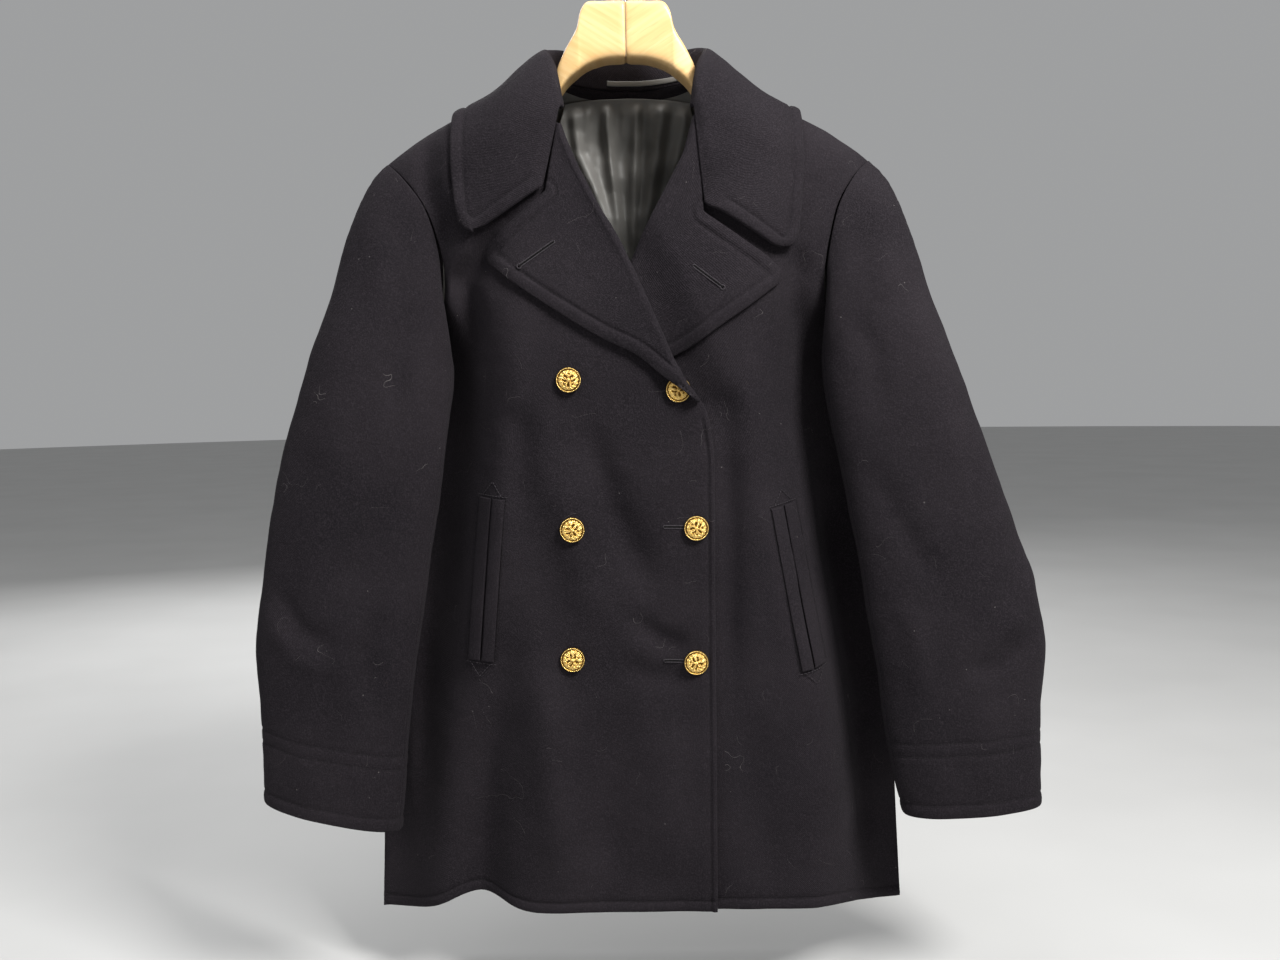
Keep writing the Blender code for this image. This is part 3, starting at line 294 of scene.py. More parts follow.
# sleeve folds: the same, then on the front (-1) or back (1) of the sleeve
SLEEVE_FOLDS = {
    -1: [([(-0.215, -0.222), (-0.200, -0.262), (-0.196, -0.310)], 0.010, -0.0030, -1),
         ([(-0.236, -0.240), (-0.222, -0.290), (-0.220, -0.350)], 0.014, 0.0024, -1),
         ([(-0.180, -0.330), (-0.205, -0.385), (-0.212, -0.440)], 0.012, -0.0024, -1),
         ([(-0.245, -0.330), (-0.262, -0.420), (-0.268, -0.500)], 0.020, 0.0026, -1),
         ([(-0.195, -0.480), (-0.232, -0.545), (-0.262, -0.600)], 0.012, -0.0024, -1),
         ([(-0.318, -0.585), (-0.296, -0.622), (-0.262, -0.640)], 0.009, -0.0026, -1),
         ([(-0.328, -0.610), (-0.300, -0.648), (-0.270, -0.660)], 0.010, 0.0022, -1),
         ([(-0.222, -0.600), (-0.238, -0.640), (-0.232, -0.700)], 0.010, -0.0026, -1),
         ([(-0.238, -0.590), (-0.256, -0.650), (-0.252, -0.710)], 0.011, 0.0020, -1),
         ([(-0.300, -0.690), (-0.296, -0.740), (-0.290, -0.790)], 0.016, 0.0018, -1),
         ([(-0.200, -0.300), (-0.230, -0.360), (-0.240, -0.430)], 0.014, -0.0030, 1),
         ([(-0.230, -0.260), (-0.262, -0.350), (-0.275, -0.450)], 0.018, 0.0026, 1),
         ([(-0.215, -0.560), (-0.260, -0.600), (-0.310, -0.620)], 0.011, -0.0030, 1),
         ([(-0.215, -0.590), (-0.262, -0.632), (-0.315, -0.648)], 0.011, 0.0024, 1),
         ([(-0.220, -0.640), (-0.262, -0.662), (-0.320, -0.680)], 0.011, -0.0024, 1)],
    1: [([(0.216, -0.222), (0.205, -0.262), (0.200, -0.310)], 0.010, -0.0030, -1),
        ([(0.238, -0.240), (0.228, -0.290), (0.226, -0.350)], 0.014, 0.0024, -1),
        ([(0.190, -0.340), (0.212, -0.390), (0.218, -0.450)], 0.012, -0.0024, -1),
        ([(0.245, -0.330), (0.268, -0.420), (0.280, -0.500)], 0.020, 0.0026, -1),
        ([(0.205, -0.480), (0.240, -0.550), (0.272, -0.600)], 0.012, -0.0022, -1),
        ([(0.338, -0.530), (0.338, -0.580), (0.320, -0.622)], 0.010, -0.0026, -1),
        ([(0.352, -0.560), (0.346, -0.612), (0.322, -0.648)], 0.010, 0.0024, -1),
        ([(0.350, -0.640), (0.318, -0.665), (0.285, -0.668)], 0.010, -0.0022, -1),
        ([(0.232, -0.600), (0.250, -0.650), (0.252, -0.700)], 0.011, 0.0018, -1),
        ([(0.310, -0.690), (0.312, -0.740), (0.310, -0.790)], 0.018, 0.0018, -1),
        ([(0.200, -0.300), (0.232, -0.360), (0.246, -0.430)], 0.014, -0.0030, 1),
        ([(0.230, -0.260), (0.264, -0.350), (0.284, -0.450)], 0.018, 0.0026, 1),
        ([(0.225, -0.560), (0.272, -0.600), (0.330, -0.615)], 0.011, -0.0030, 1),
        ([(0.228, -0.592), (0.280, -0.632), (0.336, -0.645)], 0.011, 0.0024, 1),
        ([(0.230, -0.640), (0.280, -0.664), (0.340, -0.680)], 0.011, -0.0024, 1)]}


# ---- curves and surfaces ------------------------------------------------------------
def lengths(points):
    """Length along a line of points, up to each of them."""
    return np.r_[0, np.cumsum(np.linalg.norm(np.diff(points, axis=0), axis=1))]


def resample(points, at, ways=None):
    """The points of a line at the lengths given."""
    ways = lengths(points) if ways is None else ways
    return np.stack([np.interp(at, ways, points[:, k]) for k in range(points.shape[1])], -1)


def smooth_between(knots, values, at):
    """Smooth curve through the values at the knots."""
    slopes = np.gradient(values, knots, axis=0)
    k = np.clip(np.searchsorted(knots, at, side="right") - 1, 0, len(knots) - 2)
    step = knots[k + 1] - knots[k]
    u = (at - knots[k]) / step
    if values.ndim > 1:
        u, step = u[..., None], step[..., None]
    return ((2*u**3 - 3*u**2 + 1) * values[k] + (u**3 - 2*u**2 + u) * step * slopes[k]
            + (3*u**2 - 2*u**3) * values[k + 1] + (u**3 - u**2) * step * slopes[k + 1])


def curve(points, t):
    """Smooth curve through the points, t from 0 to 1 by length of its chords."""
    points = np.asarray(points, float)
    chords = lengths(points)
    return smooth_between(chords, points, np.clip(np.asarray(t, float), 0, 1) * chords[-1])


def column(table, key, value):
    """Value of a table's column at key, smooth between its rows."""
    x, y = table[:, 0], table[:, value]
    if x[0] > x[-1]:
        x, y = x[::-1], y[::-1]
    return smooth_between(x, y, np.clip(key, x[0], x[-1]))


def smooth(t):
    t = np.clip(t, 0, 1)
    return t * t * (3 - 2 * t)


def unit(v):
    return v / np.maximum(np.linalg.norm(v, axis=-1, keepdims=True), 1e-12)


def circle(n):
    """Angles of n points round a closed ring."""
    return np.linspace(0, 2 * math.pi, n, endpoint=False)


def bent(value, power):
    """The value to a power, with its sign kept."""
    return np.sign(value) * np.abs(value) ** power


def eased(middle, before, after):
    """Points moved half way towards the middle of their neighbours."""
    return 0.5 * middle + 0.25 * (before + after)


def with_depth(flat, y):
    """Points at x, z of a flat line with their depth y."""
    return np.stack([flat[:, 0], y, flat[:, 1]], -1)


def near_line(line, x, z):
    """Distance of each x, z from a line of points, and how far along the line that is."""
    nearest, share = np.full(np.shape(x), 9.0), np.zeros(np.shape(x))
    steps = len(line) - 1
    for k in range(steps):
        (ax, az), (bx, bz) = line[k], line[k + 1]
        length = max((bx - ax) ** 2 + (bz - az) ** 2, 1e-12)
        t = np.clip(((x - ax) * (bx - ax) + (z - az) * (bz - az)) / length, 0, 1)
        far = np.hypot(x - ax - (bx - ax) * t, z - az - (bz - az) * t)
        closer = far < nearest
        nearest = np.where(closer, far, nearest)
        share = np.where(closer, (k + t) / steps, share)
    return nearest, share


def fold_field(x, z, folds):
    """Height off the cloth that a table of folds gives at x, z."""
    x, z = np.broadcast_arrays(np.asarray(x, float), np.asarray(z, float))
    height = np.zeros(x.shape)
    for points, width, depth in folds:
        far, share = near_line(points, x, z)
        fade = smooth(share / FOLD_FADE) * smooth((1 - share) / FOLD_FADE)
        fade = FOLD_END + (1 - FOLD_END) * fade
        height = height + depth * fade * np.exp(-(far / width) ** 2)
    return height


def waves(points, layers, count=14):
    """Smooth unevenness: layers of waves, each with its height, size and seed."""
    total = np.zeros(points.shape[:-1])
    for height, size, seed in layers:
        chance = np.random.RandomState(seed)
        for _ in range(count):
            way = chance.normal(size=3)
            way = way / np.linalg.norm(way) * 2 * math.pi / (size * chance.uniform(0.7, 1.6))
            wave = np.sin(points @ way + chance.uniform(0, 2 * math.pi))
            total = total + height * wave / math.sqrt(count)
    return total


def ridge(x):
    """Depth and height of the shoulder ridge."""
    return column(RIDGE, np.abs(x), 1), column(RIDGE, np.abs(x), 2) - SHOULDER_TILT * x


def flute_way(x, z):
    """How far x is from the middle of the flute at the height z."""
    start, fade = FLUTE_LEAN_FROM
    return x + FLUTE_X + FLUTE_LEAN * smooth((start - z) / fade)


def chest_y(x, z):
    """Depth of the front below the shoulder, with its flute and folds."""
    start, end = column(CHEST, z, 2), column(CHEST, z, 3)
    front, side = column(CHEST, z, 1), column(CHEST, z, 4)
    fall = smooth((np.abs(x) - start) / (end - start))
    y = front + (side - front) * fall
    y = y + SIDE_SLOPE * np.maximum(np.abs(x) - end, 0)
    flute = FLUTE_DEPTH * smooth((FLUTE_FROM[0] - z) / FLUTE_FROM[1])
    y = y + flute * np.exp(-(flute_way(x, z) / FLUTE_WIDTH) ** 2)
    return y - FOLD_SCALE * fold_field(x, z, FRONT_FOLDS)


def back_y(x, z):
    """Depth of the back, with its folds."""
    y = BACK_DEPTH - BACK_FALL * smooth((np.abs(x) - SIDE_BEND[0]) / SIDE_BEND[1])
    start, fade = BACK_HOLLOW_FROM
    return y - BACK_HOLLOW * smooth((start - z) / fade) + fold_field(x, z, BACK_FOLDS)


def face_y(x, z, back):
    return np.where(back, back_y(x, z), chest_y(x, z))


def shoulder_bend(x, back):
    """Ridge y and z, height and depth of the bend over the shoulder, and the way round it."""
    y0, z0 = ridge(x)
    h = np.where(back, SHOULDER_H_BACK, SHOULDER_H_FRONT)
    depth = np.abs(face_y(x, z0 - h, back) - y0)
    return y0, z0, h, depth, math.pi / 2 * np.sqrt((depth ** 2 + h ** 2) / 2)


def drape(x, w, off=0.0):
    """Point at the way w from the shoulder ridge (front -, back +), off the cloth."""
    x, w, off = np.broadcast_arrays(*[np.asarray(a, float) for a in (x, w, off)])
    back, way = w > 0, np.abs(w)
    y0, z0, h, depth, quarter = shoulder_bend(x, back)
    turn = np.minimum(way / quarter, 1) * math.pi / 2
    z = z0 + off - (h + off) * (1 - np.cos(turn)) - np.maximum(way - quarter, 0)
    sign = np.where(back, 1.0, -1.0)
    y_round = y0 + sign * (depth + off) * np.sin(turn)
    y_flat = face_y(x, z, back) + sign * off
    return np.stack([x, np.where(way < quarter, y_round, y_flat), z], -1)


def way_down(x, z, back=False):
    """The way w from the ridge to the height z at x."""
    _, z0, h, _, quarter = shoulder_bend(x, back)
    drop = np.maximum(z0 - z, 0)
    turn = np.arccos(np.clip(1 - drop / h, -1, 1))
    way = np.where(drop < h, turn / (math.pi / 2) * quarter, quarter + drop - h)
    return way if back else -way


# ---- grids -----------------------------------------------------------------------
def marks(stitches=()):
    """Distances from an edge where a grid needs lines: its rounding and its stitching."""
    found = list(EDGE_MARKS)
    for at in stitches:
        found += [at + d for d in STITCH_SPREAD]
    found = sorted(found)
    filled = found[:1]
    for at in found[1:]:
        steps = max(1, int(round((at - filled[-1]) / GRID)))
        filled += list(np.linspace(filled[-1], at, steps + 1)[1:])
    return np.array(filled)


def turned(grid):
    return grid.transpose(1, 0, 2)


def respace(grid, first, last, step=GRID):
    """The grid with its columns at set distances from both edges, and even between."""
    ways = edge_ways(grid)["l"]
    middle = max(3, int(round((ways[:, -1].mean() - first[-1] - last[-1]) / step)))
    lines = []
    for way, line in zip(ways, grid):
        room = min(1.0, 0.9 * way[-1] / (first[-1] + last[-1]))
        left, right = first * room, way[-1] - last[::-1] * room
        at = np.r_[left, np.linspace(left[-1], right[0], middle + 1)[1:-1], right]
        lines.append(resample(line, at, way))
    return np.array(lines)


def respaced(grid, across, down, steps=(GRID, GRID)):
    """The grid respaced both ways; across and down are the marks at its two ends."""
    return turned(respace(turned(respace(grid, *across, steps[0])), *down, steps[1]))


def edge_ways(grid):
    """Distances of each point from the grid's left, right, top and bottom edge."""
    across = np.linalg.norm(np.diff(grid, axis=1), axis=2)
    down = np.linalg.norm(np.diff(grid, axis=0), axis=2)
    left = np.concatenate([np.zeros((len(grid), 1)), np.cumsum(across, 1)], 1)
    top = np.concatenate([np.zeros((1, grid.shape[1])), np.cumsum(down, 0)], 0)
    return {"l": left, "r": left[:, -1:] - left, "t": top, "b": top[-1:] - top}


def grid_normals(grid, outward):
    normals = unit(np.cross(np.gradient(grid, axis=1), np.gradient(grid, axis=0)))
    return normals if np.sum(normals * outward) > 0 else -normals


def pull_in(grid, amount=SEAM):
    """Move the grid's edges in by half a seam gap."""
    g = grid.copy()
    g[0] += unit(grid[1] - grid[0]) * amount
    g[-1] += unit(grid[-2] - grid[-1]) * amount
    g[:, 0] += unit(grid[:, 1] - grid[:, 0]) * amount
    g[:, -1] += unit(grid[:, -2] - grid[:, -1]) * amount
    return g


def round_corner(grid, row, col, radius):
    """Round the corner of the grid where the given end row and column meet."""
    ways = edge_ways(grid)
    a = ways["t" if row == 0 else "b"]
    b = ways["l" if col == 0 else "r"]
    u, v = np.clip(1 - a / radius, 0, 1), np.clip(1 - b / radius, 0, 1)
    in_a = radius * (u - u * np.sqrt(1 - v ** 2 / 2))
    in_b = radius * (v - v * np.sqrt(1 - u ** 2 / 2))
    way_a = unit(np.gradient(grid, axis=0)) * (1 if row == 0 else -1)
    way_b = unit(np.gradient(grid, axis=1)) * (1 if col == 0 else -1)
    return grid + way_a * in_a[..., None] + way_b * in_b[..., None]


# ---- meshes ----------------------------------------------------------------------
def add_mesh(name, verts, faces, materials, slots=None, uv=None):
    mesh = bpy.data.meshes.new(name)
    mesh.from_pydata(np.asarray(verts).tolist(), [], [list(f) for f in faces])
    for found in materials:
        mesh.materials.append(found)
    if slots is not None:
        mesh.polygons.foreach_set("material_index", np.asarray(slots, np.int32))
    if uv is not None:
        layer = mesh.uv_layers.new(name="cloth")
        corners = np.zeros(len(mesh.loops), np.int32)
        mesh.loops.foreach_get("vertex_index", corners)
        layer.data.foreach_set("uv", np.asarray(uv, np.float32)[corners].ravel())
    mesh.shade_smooth()
    mesh.update()
    made = bpy.data.objects.new(name, mesh)
    bpy.context.scene.collection.objects.link(made)
    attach(made, "root")
    return made


def two_skins(name, outer, inner, uv, materials, facing):
    """Closed cloth wall between two grids; facing marks inner cells of the outer cloth."""
    rows, cols = outer.shape[:2]
    verts = np.concatenate([outer.reshape(-1, 3), inner.reshape(-1, 3)])
    i, j = np.meshgrid(np.arange(rows - 1), np.arange(cols - 1), indexing="ij")
    a = (i * cols + j).ravel()
    quads = np.stack([a, a + 1, a + cols + 1, a + cols], -1)
    shift = rows * cols
    top, left = np.arange(cols), np.arange(rows) * cols
    rims = []
    for line, flip in ((top, 1), (top + (rows - 1) * cols, 0), (left, 0), (left + cols - 1, 1)):
        p, q = line[:-1], line[1:]
        rim = np.stack([q, p, p + shift, q + shift], -1)
        rims.append(rim if flip else rim[:, ::-1])
    rims = np.concatenate(rims)
    faces = np.concatenate([quads, quads[:, ::-1] + shift, rims])
    slots = np.concatenate([np.zeros(len(quads), int), np.where(facing.ravel(), 0, 1),
                            np.zeros(len(rims), int)])
    n = np.cross(outer[1, 0] - outer[0, 0], outer[0, 1] - outer[0, 0])
    if np.dot(n, outer[0, 0] - inner[0, 0]) > 0:
        faces = faces[:, ::-1]
    return add_mesh(name, verts, faces, materials, slots, np.concatenate([uv, uv]))


def wall_directions(normals, meetings):
    """The cloth's normals, turned to a seam's own direction where two pieces meet there.

    meetings lists (ways, reach, direction): each point's distance from the seam, over
    which reach the wall turns, and to which direction.
    """
    for ways, reach, direction in meetings:
        t = smooth(ways / reach)[..., None]
        normals = unit(normals * t + np.array(direction, float) * (1 - t))
    return normals


def cloth(name, grid, wall, outward, materials, stitches=(), facing=False, uneven=1.0,
          meetings=(), sewn=None):
    """A cloth piece whose outer face is the grid, with its edges rounded.

    facing marks the cells whose inside is of the outer cloth too. stitches lists (ways,
    at, mask): each point's distance from an edge, the distance of the stitch line from
    that edge, and where the line is sewn; sewn lists the thread's lines where they
    differ. Returns the object and the threads' paths and normals.
    """
    ways, normals = edge_ways(grid), grid_normals(grid, outward)
    grid = grid + normals * (waves(grid, UNEVEN) * uneven)[..., None]
    edge = np.minimum.reduce([ways[k] for k in "lrtb"])
    in_way = np.clip(1 - edge / EDGE_ROUND, 0, 1)
    rounding = EDGE_SHARE * wall * (1 - np.sqrt(np.maximum(1 - in_way ** 2, 0)))
    height = -rounding
    for way, at, mask in stitches:
        groove = STITCH_DEPTH * np.exp(-((way - at) / STITCH_WIDTH) ** 2)
        border = at < PUFFED_BORDER
        puff = PUFF * np.sin(math.pi * np.clip(way / at, 0, 1)) if border else 0.0
        height = height + (puff - groove) * mask
    outer = grid + normals * height[..., None]
    inner = grid - wall_directions(normals, meetings) * (wall - rounding)[..., None]
    uv = np.stack([ways["l"].ravel(), -ways["t"].ravel()], -1)
    facing = cell_mask(edge < SEAM_ALLOWANCE) | facing
    made = two_skins(name, outer, inner, uv, materials, facing)
    lines = stitches if sewn is None else sewn
    return made, [line for stitch in lines for line in sewn_line(outer, normals, *stitch)]


def sewn_line(outer, normals, way, at, mask):
    """The grid points nearest a stitch line, in order, with their normals."""
    down = np.abs(np.diff(way, axis=0)).mean() > np.abs(np.diff(way, axis=1)).mean()
    if down:
        rows = np.argmin(np.abs(way - at), axis=0)
        cols = np.arange(outer.shape[1])
    else:
        rows = np.arange(outer.shape[0])
        cols = np.argmin(np.abs(way - at), axis=1)
    keep = mask[rows, cols] > 0.5
    if keep.sum() < 4:
        return []
    return [(outer[rows, cols][keep], normals[rows, cols][keep])]


def tube(name, rings, materials, uv=None):
    """Closed solid through rings of points, with flat ends."""
    rows, cols = rings.shape[:2]
    faces = [[i * cols + j, i * cols + (j + 1) % cols, (i + 1) * cols + (j + 1) % cols,
              (i + 1) * cols + j] for i in range(rows - 1) for j in range(cols)]
    faces.append(list(range(cols))[::-1])
    faces.append([(rows - 1) * cols + k for k in range(cols)])
    return add_mesh(name, rings.reshape(-1, 3), faces, materials, uv=uv)


def rings_along(path, radius, sides, across):
    """Rings of a round tube along a path; across is roughly square to the path."""
    tangent = unit(np.gradient(path, axis=0))
    a = unit(np.cross(tangent, np.broadcast_to(across, tangent.shape)))
    b = np.cross(tangent, a)
    turn = circle(sides)[None, :, None]
    radius = np.broadcast_to(radius, len(path))[:, None, None]
    return path[:, None] + radius * (np.cos(turn) * a[:, None] + np.sin(turn) * b[:, None])


def stitched(name, paths, materials, stoutness=1.0):
    """Sewing thread along paths on the cloth: short stitches that dip at both ends."""
    verts, faces = [], []
    sides, rows = 5, 5
    thickness = THREAD * stoutness
    for points, normals in paths:
        way = lengths(points)
        pitch = STITCH_LENGTH + STITCH_GAP
        for k in range(int(way[-1] / pitch)):
            at = k * pitch + np.linspace(0, STITCH_LENGTH, rows)
            out = unit(resample(normals, at[2], way))
            path = resample(points, at, way) + out * thickness * STITCH_RISE[:, None]
            rings = rings_along(path, thickness * STITCH_GIRTH, sides, out)
            start = len(verts) * sides * rows
            verts.append(rings.reshape(-1, 3))
            for i in range(rows - 1):
                for j in range(sides):
                    a, b = start + i * sides + j, start + i * sides + (j + 1) % sides
                    faces.append((a, b, b + sides, a + sides))
    return add_mesh(name, np.concatenate(verts), faces, materials)


# ---- materials ---------------------------------------------------------------------
BLACK, WHITE = (0, 0, 0), (1, 1, 1)


def grey(value):
    return (value, value, value)


class Look:
    """A material in the making; its constants are set on the shader's sockets."""

    def __init__(self, name, **values):
        self.made = bpy.data.materials.new(name)
        self.made.use_nodes = True
        self.tree = self.made.node_tree
        self.shader = self.tree.nodes["Principled BSDF"]
        for socket, value in values.items():
            self.shader.inputs[socket.replace("_", " ")].default_value = value
        self.place = self.node("TexCoord").outputs["Object"]

    def node(self, kind, inputs=(), **settings):
        made = self.tree.nodes.new("ShaderNode" + kind)
        for key, value in settings.items():
            setattr(made, key, value)
        for key, value in dict(inputs).items():
            if isinstance(value, bpy.types.NodeSocket):
                self.tree.links.new(value, made.inputs[key])
            else:
                made.inputs[key].default_value = value
        return made

    def ramp(self, value, *stops):
        made = self.node("ValToRGB", {"Fac": value})
        elements = made.color_ramp.elements
        while len(elements) < len(stops):
            elements.new(0.5)
        for element, (at, colour) in zip(elements, stops):
            element.position = at
            element.color = (*colour, 1)
        return made.outputs["Color"]

    def math(self, operation, a, b):
        return self.node("Math", {0: a, 1: b}, operation=operation).outputs[0]

    def mix(self, share, a, b, blend="MIX"):
        return self.node("Mix", {"Factor": share, 6: a, 7: b}, data_type="RGBA",
                         blend_type=blend).outputs[2]

    def scaled(self, vector, scale):
        return self.node("Mapping", {"Vector": vector, "Scale": scale}).outputs[0]

    def noise(self, scale, detail, rough=0.5, vector=None):
        return self.node("TexNoise", {"Vector": vector or self.place, "Scale": scale,
                                      "Detail": detail, "Roughness": rough}).outputs["Fac"]

    def wave(self, vector, direction, **values):
        inputs = {"Vector": vector, **{key.replace("_", " "): v for key, v in values.items()}}
        return self.node("TexWave", inputs, wave_type="BANDS",
                         bands_direction=direction).outputs["Fac"]

    def weave(self, direction, **values):
        """Threads of the cloth, straight in its flat cut."""
        flat = self.node("UVMap", uv_map="cloth").outputs["UV"]
        return self.wave(flat, direction, **values)

    def finish(self, colour, rough=None, bump=None):
        """Link the colour, the roughness (value, low, high) and the bump (height,
        strength, distance) to the shader."""
        self.tree.links.new(colour, self.shader.inputs["Base Color"])
        if rough:
            value, low, high = rough
            made = self.node("MapRange", {"Value": value, "To Min": low, "To Max": high})
            self.tree.links.new(made.outputs[0], self.shader.inputs["Roughness"])
        if bump:
            height, strength, distance = bump
            made = self.node("Bump", {"Height": height, "Strength": strength,
                                      "Distance": distance})
            self.tree.links.new(made.outputs["Normal"], self.shader.inputs["Normal"])
        return self.made


def melton(name, dark, light):
    """Napped wool: a faint twill under a matted surface, with lint and stray hairs."""
    look = Look(name, Roughness=0.95, Sheen_Weight=0.02, Sheen_Roughness=0.40,
                Sheen_Tint=(0.72, 0.66, 0.72, 1), Specular_IOR_Level=0.06)
    nap = look.noise(760.0, 3.0, 0.65)
    matted = look.noise(150.0, 4.0, 0.6)
    twill = look.weave("DIAGONAL", Scale=330.0, Distortion=3.5, Detail=2.0, Detail_Scale=2.0)
    cloud = look.ramp(look.noise(9.0, 3.0), (0.35, BLACK), (0.68, WHITE))
    base = look.mix(cloud, (*dark, 1), (*light, 1))
    worn = look.ramp(nap, (0.45, BLACK), (0.68, grey(0.55)))
    colour = look.mix(worn, base, [2.1 * c for c in light] + [1])
    cells = look.node("TexVoronoi", {"Vector": look.place, "Scale": 95.0}, feature="F1")
    lint = look.math("MULTIPLY", look.math("LESS_THAN", cells.outputs["Distance"], 0.055),
                     look.math("GREATER_THAN", look.noise(33.0, 1.0), 0.63))
    off_line = look.math("ABSOLUTE", look.math("SUBTRACT", look.noise(26.0, 1.5), 0.5), 0)
    hair = look.math("MULTIPLY", look.math("LESS_THAN", off_line, 0.0007),
                     look.math("GREATER_THAN", look.noise(41.0, 0.0), 0.69))
    specks = look.math("MULTIPLY", look.math("MAXIMUM", lint, hair), 0.8)
    colour = look.mix(specks, colour, (0.12, 0.11, 0.11, 1))
    under = look.math("ADD", look.math("MULTIPLY", matted, 0.8), look.math("MULTIPLY", twill, 0.22))
    height = look.math("ADD", look.math("MULTIPLY", nap, 0.55), under)
    return look.finish(colour, bump=(height, 0.80, 0.0012))


def satin(name):
    look = Look(name, Roughness=0.46, Specular_IOR_Level=0.42, Sheen_Weight=0.10, Anisotropic=0.5)
    colour = look.ramp(look.noise(16.0, 2.0), (0.3, (0.100, 0.097, 0.090)),
                       (0.7, (0.170, 0.165, 0.154)))
    weft = look.weave("Y", Scale=620.0, Distortion=1.0)
    height = look.math("ADD", look.math("MULTIPLY", weft, 0.06), look.noise(85.0, 3.0, 0.55))
    return look.finish(colour, bump=(height, 0.30, 0.0016))


def thread(name, colour):
    look = Look(name, Roughness=0.85, Specular_IOR_Level=0.15)
    twist = look.noise(900.0, 1.0)
    light = tuple(1.8 * c for c in colour)
    return look.finish(look.ramp(twist, (0.35, colour), (0.65, light)), bump=(twist, 0.4, 0.0002))


def gilt(name):
    """Gilt brass with painted shade where the relief is low and a paler painted highlight where it
    is high (vertex colour "relief").
    """
    look = Look(name, Metallic=1.0, Specular_IOR_Level=0.5)
    relief = look.node("VertexColor", layer_name="relief").outputs["Color"]
    patina = look.noise(260.0, 3.0)
    # painted light: dark painted shade in the low relief, pale painted highlight on the raised
    # relief
    colour = look.ramp(relief, (0.30, (0.15, 0.075, 0.012)), (0.58, (0.78, 0.47, 0.10)),
                       (0.90, (1.0, 0.80, 0.36)))
    tarnish = look.ramp(patina, (0.35, (0.45, 0.40, 0.32)), (0.6, WHITE))
    colour = look.mix(0.35, colour, tarnish, "MULTIPLY")
    return look.finish(colour, rough=(patina, 0.29, 0.38), bump=(patina, 0.15, 0.0002))


def wood(name, side):
    """Pale lacquered wood; its grain runs down the arm, so the halves meet in a V."""
    look = Look(name, Coat_Weight=0.25, Coat_Roughness=0.25, Specular_IOR_Level=0.4)
    lie = look.node("Mapping", {"Vector": look.place,
                                "Rotation": (0, side * math.radians(-58), 0)}).outputs[0]
    grain = look.noise(1.0, 5.0, 0.6, look.scaled(lie, (120.0, 26.0, 7.0)))
    rings = look.wave(look.scaled(lie, (1.0, 0.35, 0.10)), "X", Scale=55.0, Distortion=5.0,
                      Detail=3.0, Detail_Scale=1.4)
    pores = look.noise(1.0, 1.0, vector=look.scaled(lie, (900.0, 400.0, 45.0)))
    colour = look.ramp(grain, (0.28, (0.66, 0.40, 0.16)), (0.50, (0.74, 0.49, 0.22)),
                       (0.75, (0.80, 0.56, 0.28)))
    colour = look.mix(look.ramp(rings, (0.35, BLACK), (0.9, grey(0.32))), colour,
                      (0.70, 0.43, 0.17, 1))
    colour = look.mix(look.ramp(pores, (0.62, BLACK), (0.74, grey(0.4))), colour,
                      (0.55, 0.33, 0.13, 1))
    return look.finish(colour, rough=(grain, 0.34, 0.48), bump=(grain, 0.12, 0.0006))


def steel(name):
    look = Look(name, Metallic=1.0)
    rub = look.noise(700.0, 2.0, vector=look.scaled(look.place, (1, 1, 0.2)))
    colour = look.ramp(rub, (0.3, (0.52, 0.52, 0.53)), (0.7, (0.72, 0.72, 0.73)))
    return look.finish(colour, rough=(rub, 0.14, 0.30))


def pale_floor(name):
    look = Look(name, Roughness=0.85, Specular_IOR_Level=0.2)
    return look.finish(look.ramp(look.noise(3.0, 3.0), (0.3, (0.47, 0.47, 0.465)),
                                 (0.7, (0.50, 0.50, 0.495))))


# ---- body --------------------------------------------------------------------------
ARM_ROWS = 90
ROW_CROWDING = 1.3
SKIRT_ROWS = 150
FRONT_COLUMNS = 90
BACK_COLUMNS = 90
NECK_COLUMNS = 34
LAPEL_TUCK = 0.0056      # the front's edge lies this far inside the roll of its lapel
TUCK_FADE = 0.02         # height above the break over which it goes in
UNDER_START = 0.004      # the under front comes forward from here, outwards of the over edge
UNDER_REACH = 0.040
UNDER_ROLL = 0.0024      # room for the roll of its lapel
UNDER_LAPEL = (-0.235, -0.475, 0.05)    # heights between which it leaves room for its lapel
UNDER_TOP = (-0.20, 0.06)               # height where it starts to lie behind, and the fade
EDGE_LIFT_FROM = (-0.50, 0.25)
UNDERARM_Z = -0.366
UNDERARM_FADE = 0.02
TOP_BEND = 0.010         # how far in from a seam the wall turns to that seam's direction
SEAM_BEND = 0.018
CENTRE_BEND = 0.008
BELOW_BREAK = (0.012, 0.010)    # the front's stitching starts below the break, and its fade
EDGE_LIFT = 0.0032       # how far the over front's edge stands off the under front
EDGE_LIFT_WIDTH = 0.022
CENTRE_LAP = 0.00015     # the back halves cross the middle by this, so no light comes through
FACING_WIDTH = 0.085     # melton facing inside the front edges
HEM_FACING = 0.040
# back neck: half-width x and the way w from the shoulder ridge
NECK = np.array([(0.000, 0.0400), (0.030, 0.0360), (0.057, 0.0210), (0.074, 0.0)])


def edge_x(side, z):
    """The front edge's x, or the roll line's, at the height z."""
    return column(FRONT_EDGE[side][:, ::-1], z, 1)


def front_edge_x(side, z):
    """The front's own edge, tucked inside the roll where the lapel turns over it."""
    return edge_x(side, z) + side * LAPEL_TUCK * smooth((z - BREAK_Z[side]) / TUCK_FADE)


def hem_z(x):
    drop = (HEM_SIDE_Z - HEM_CENTRE_Z) * smooth((np.abs(x) - SIDE_BEND[0]) / SIDE_BEND[1])
    lift = FLUTE_LIFT * np.exp(-(flute_way(x, HEM_CENTRE_Z) / HEM_FLUTE_WIDTH) ** 2)
    return HEM_CENTRE_Z + drop + lift


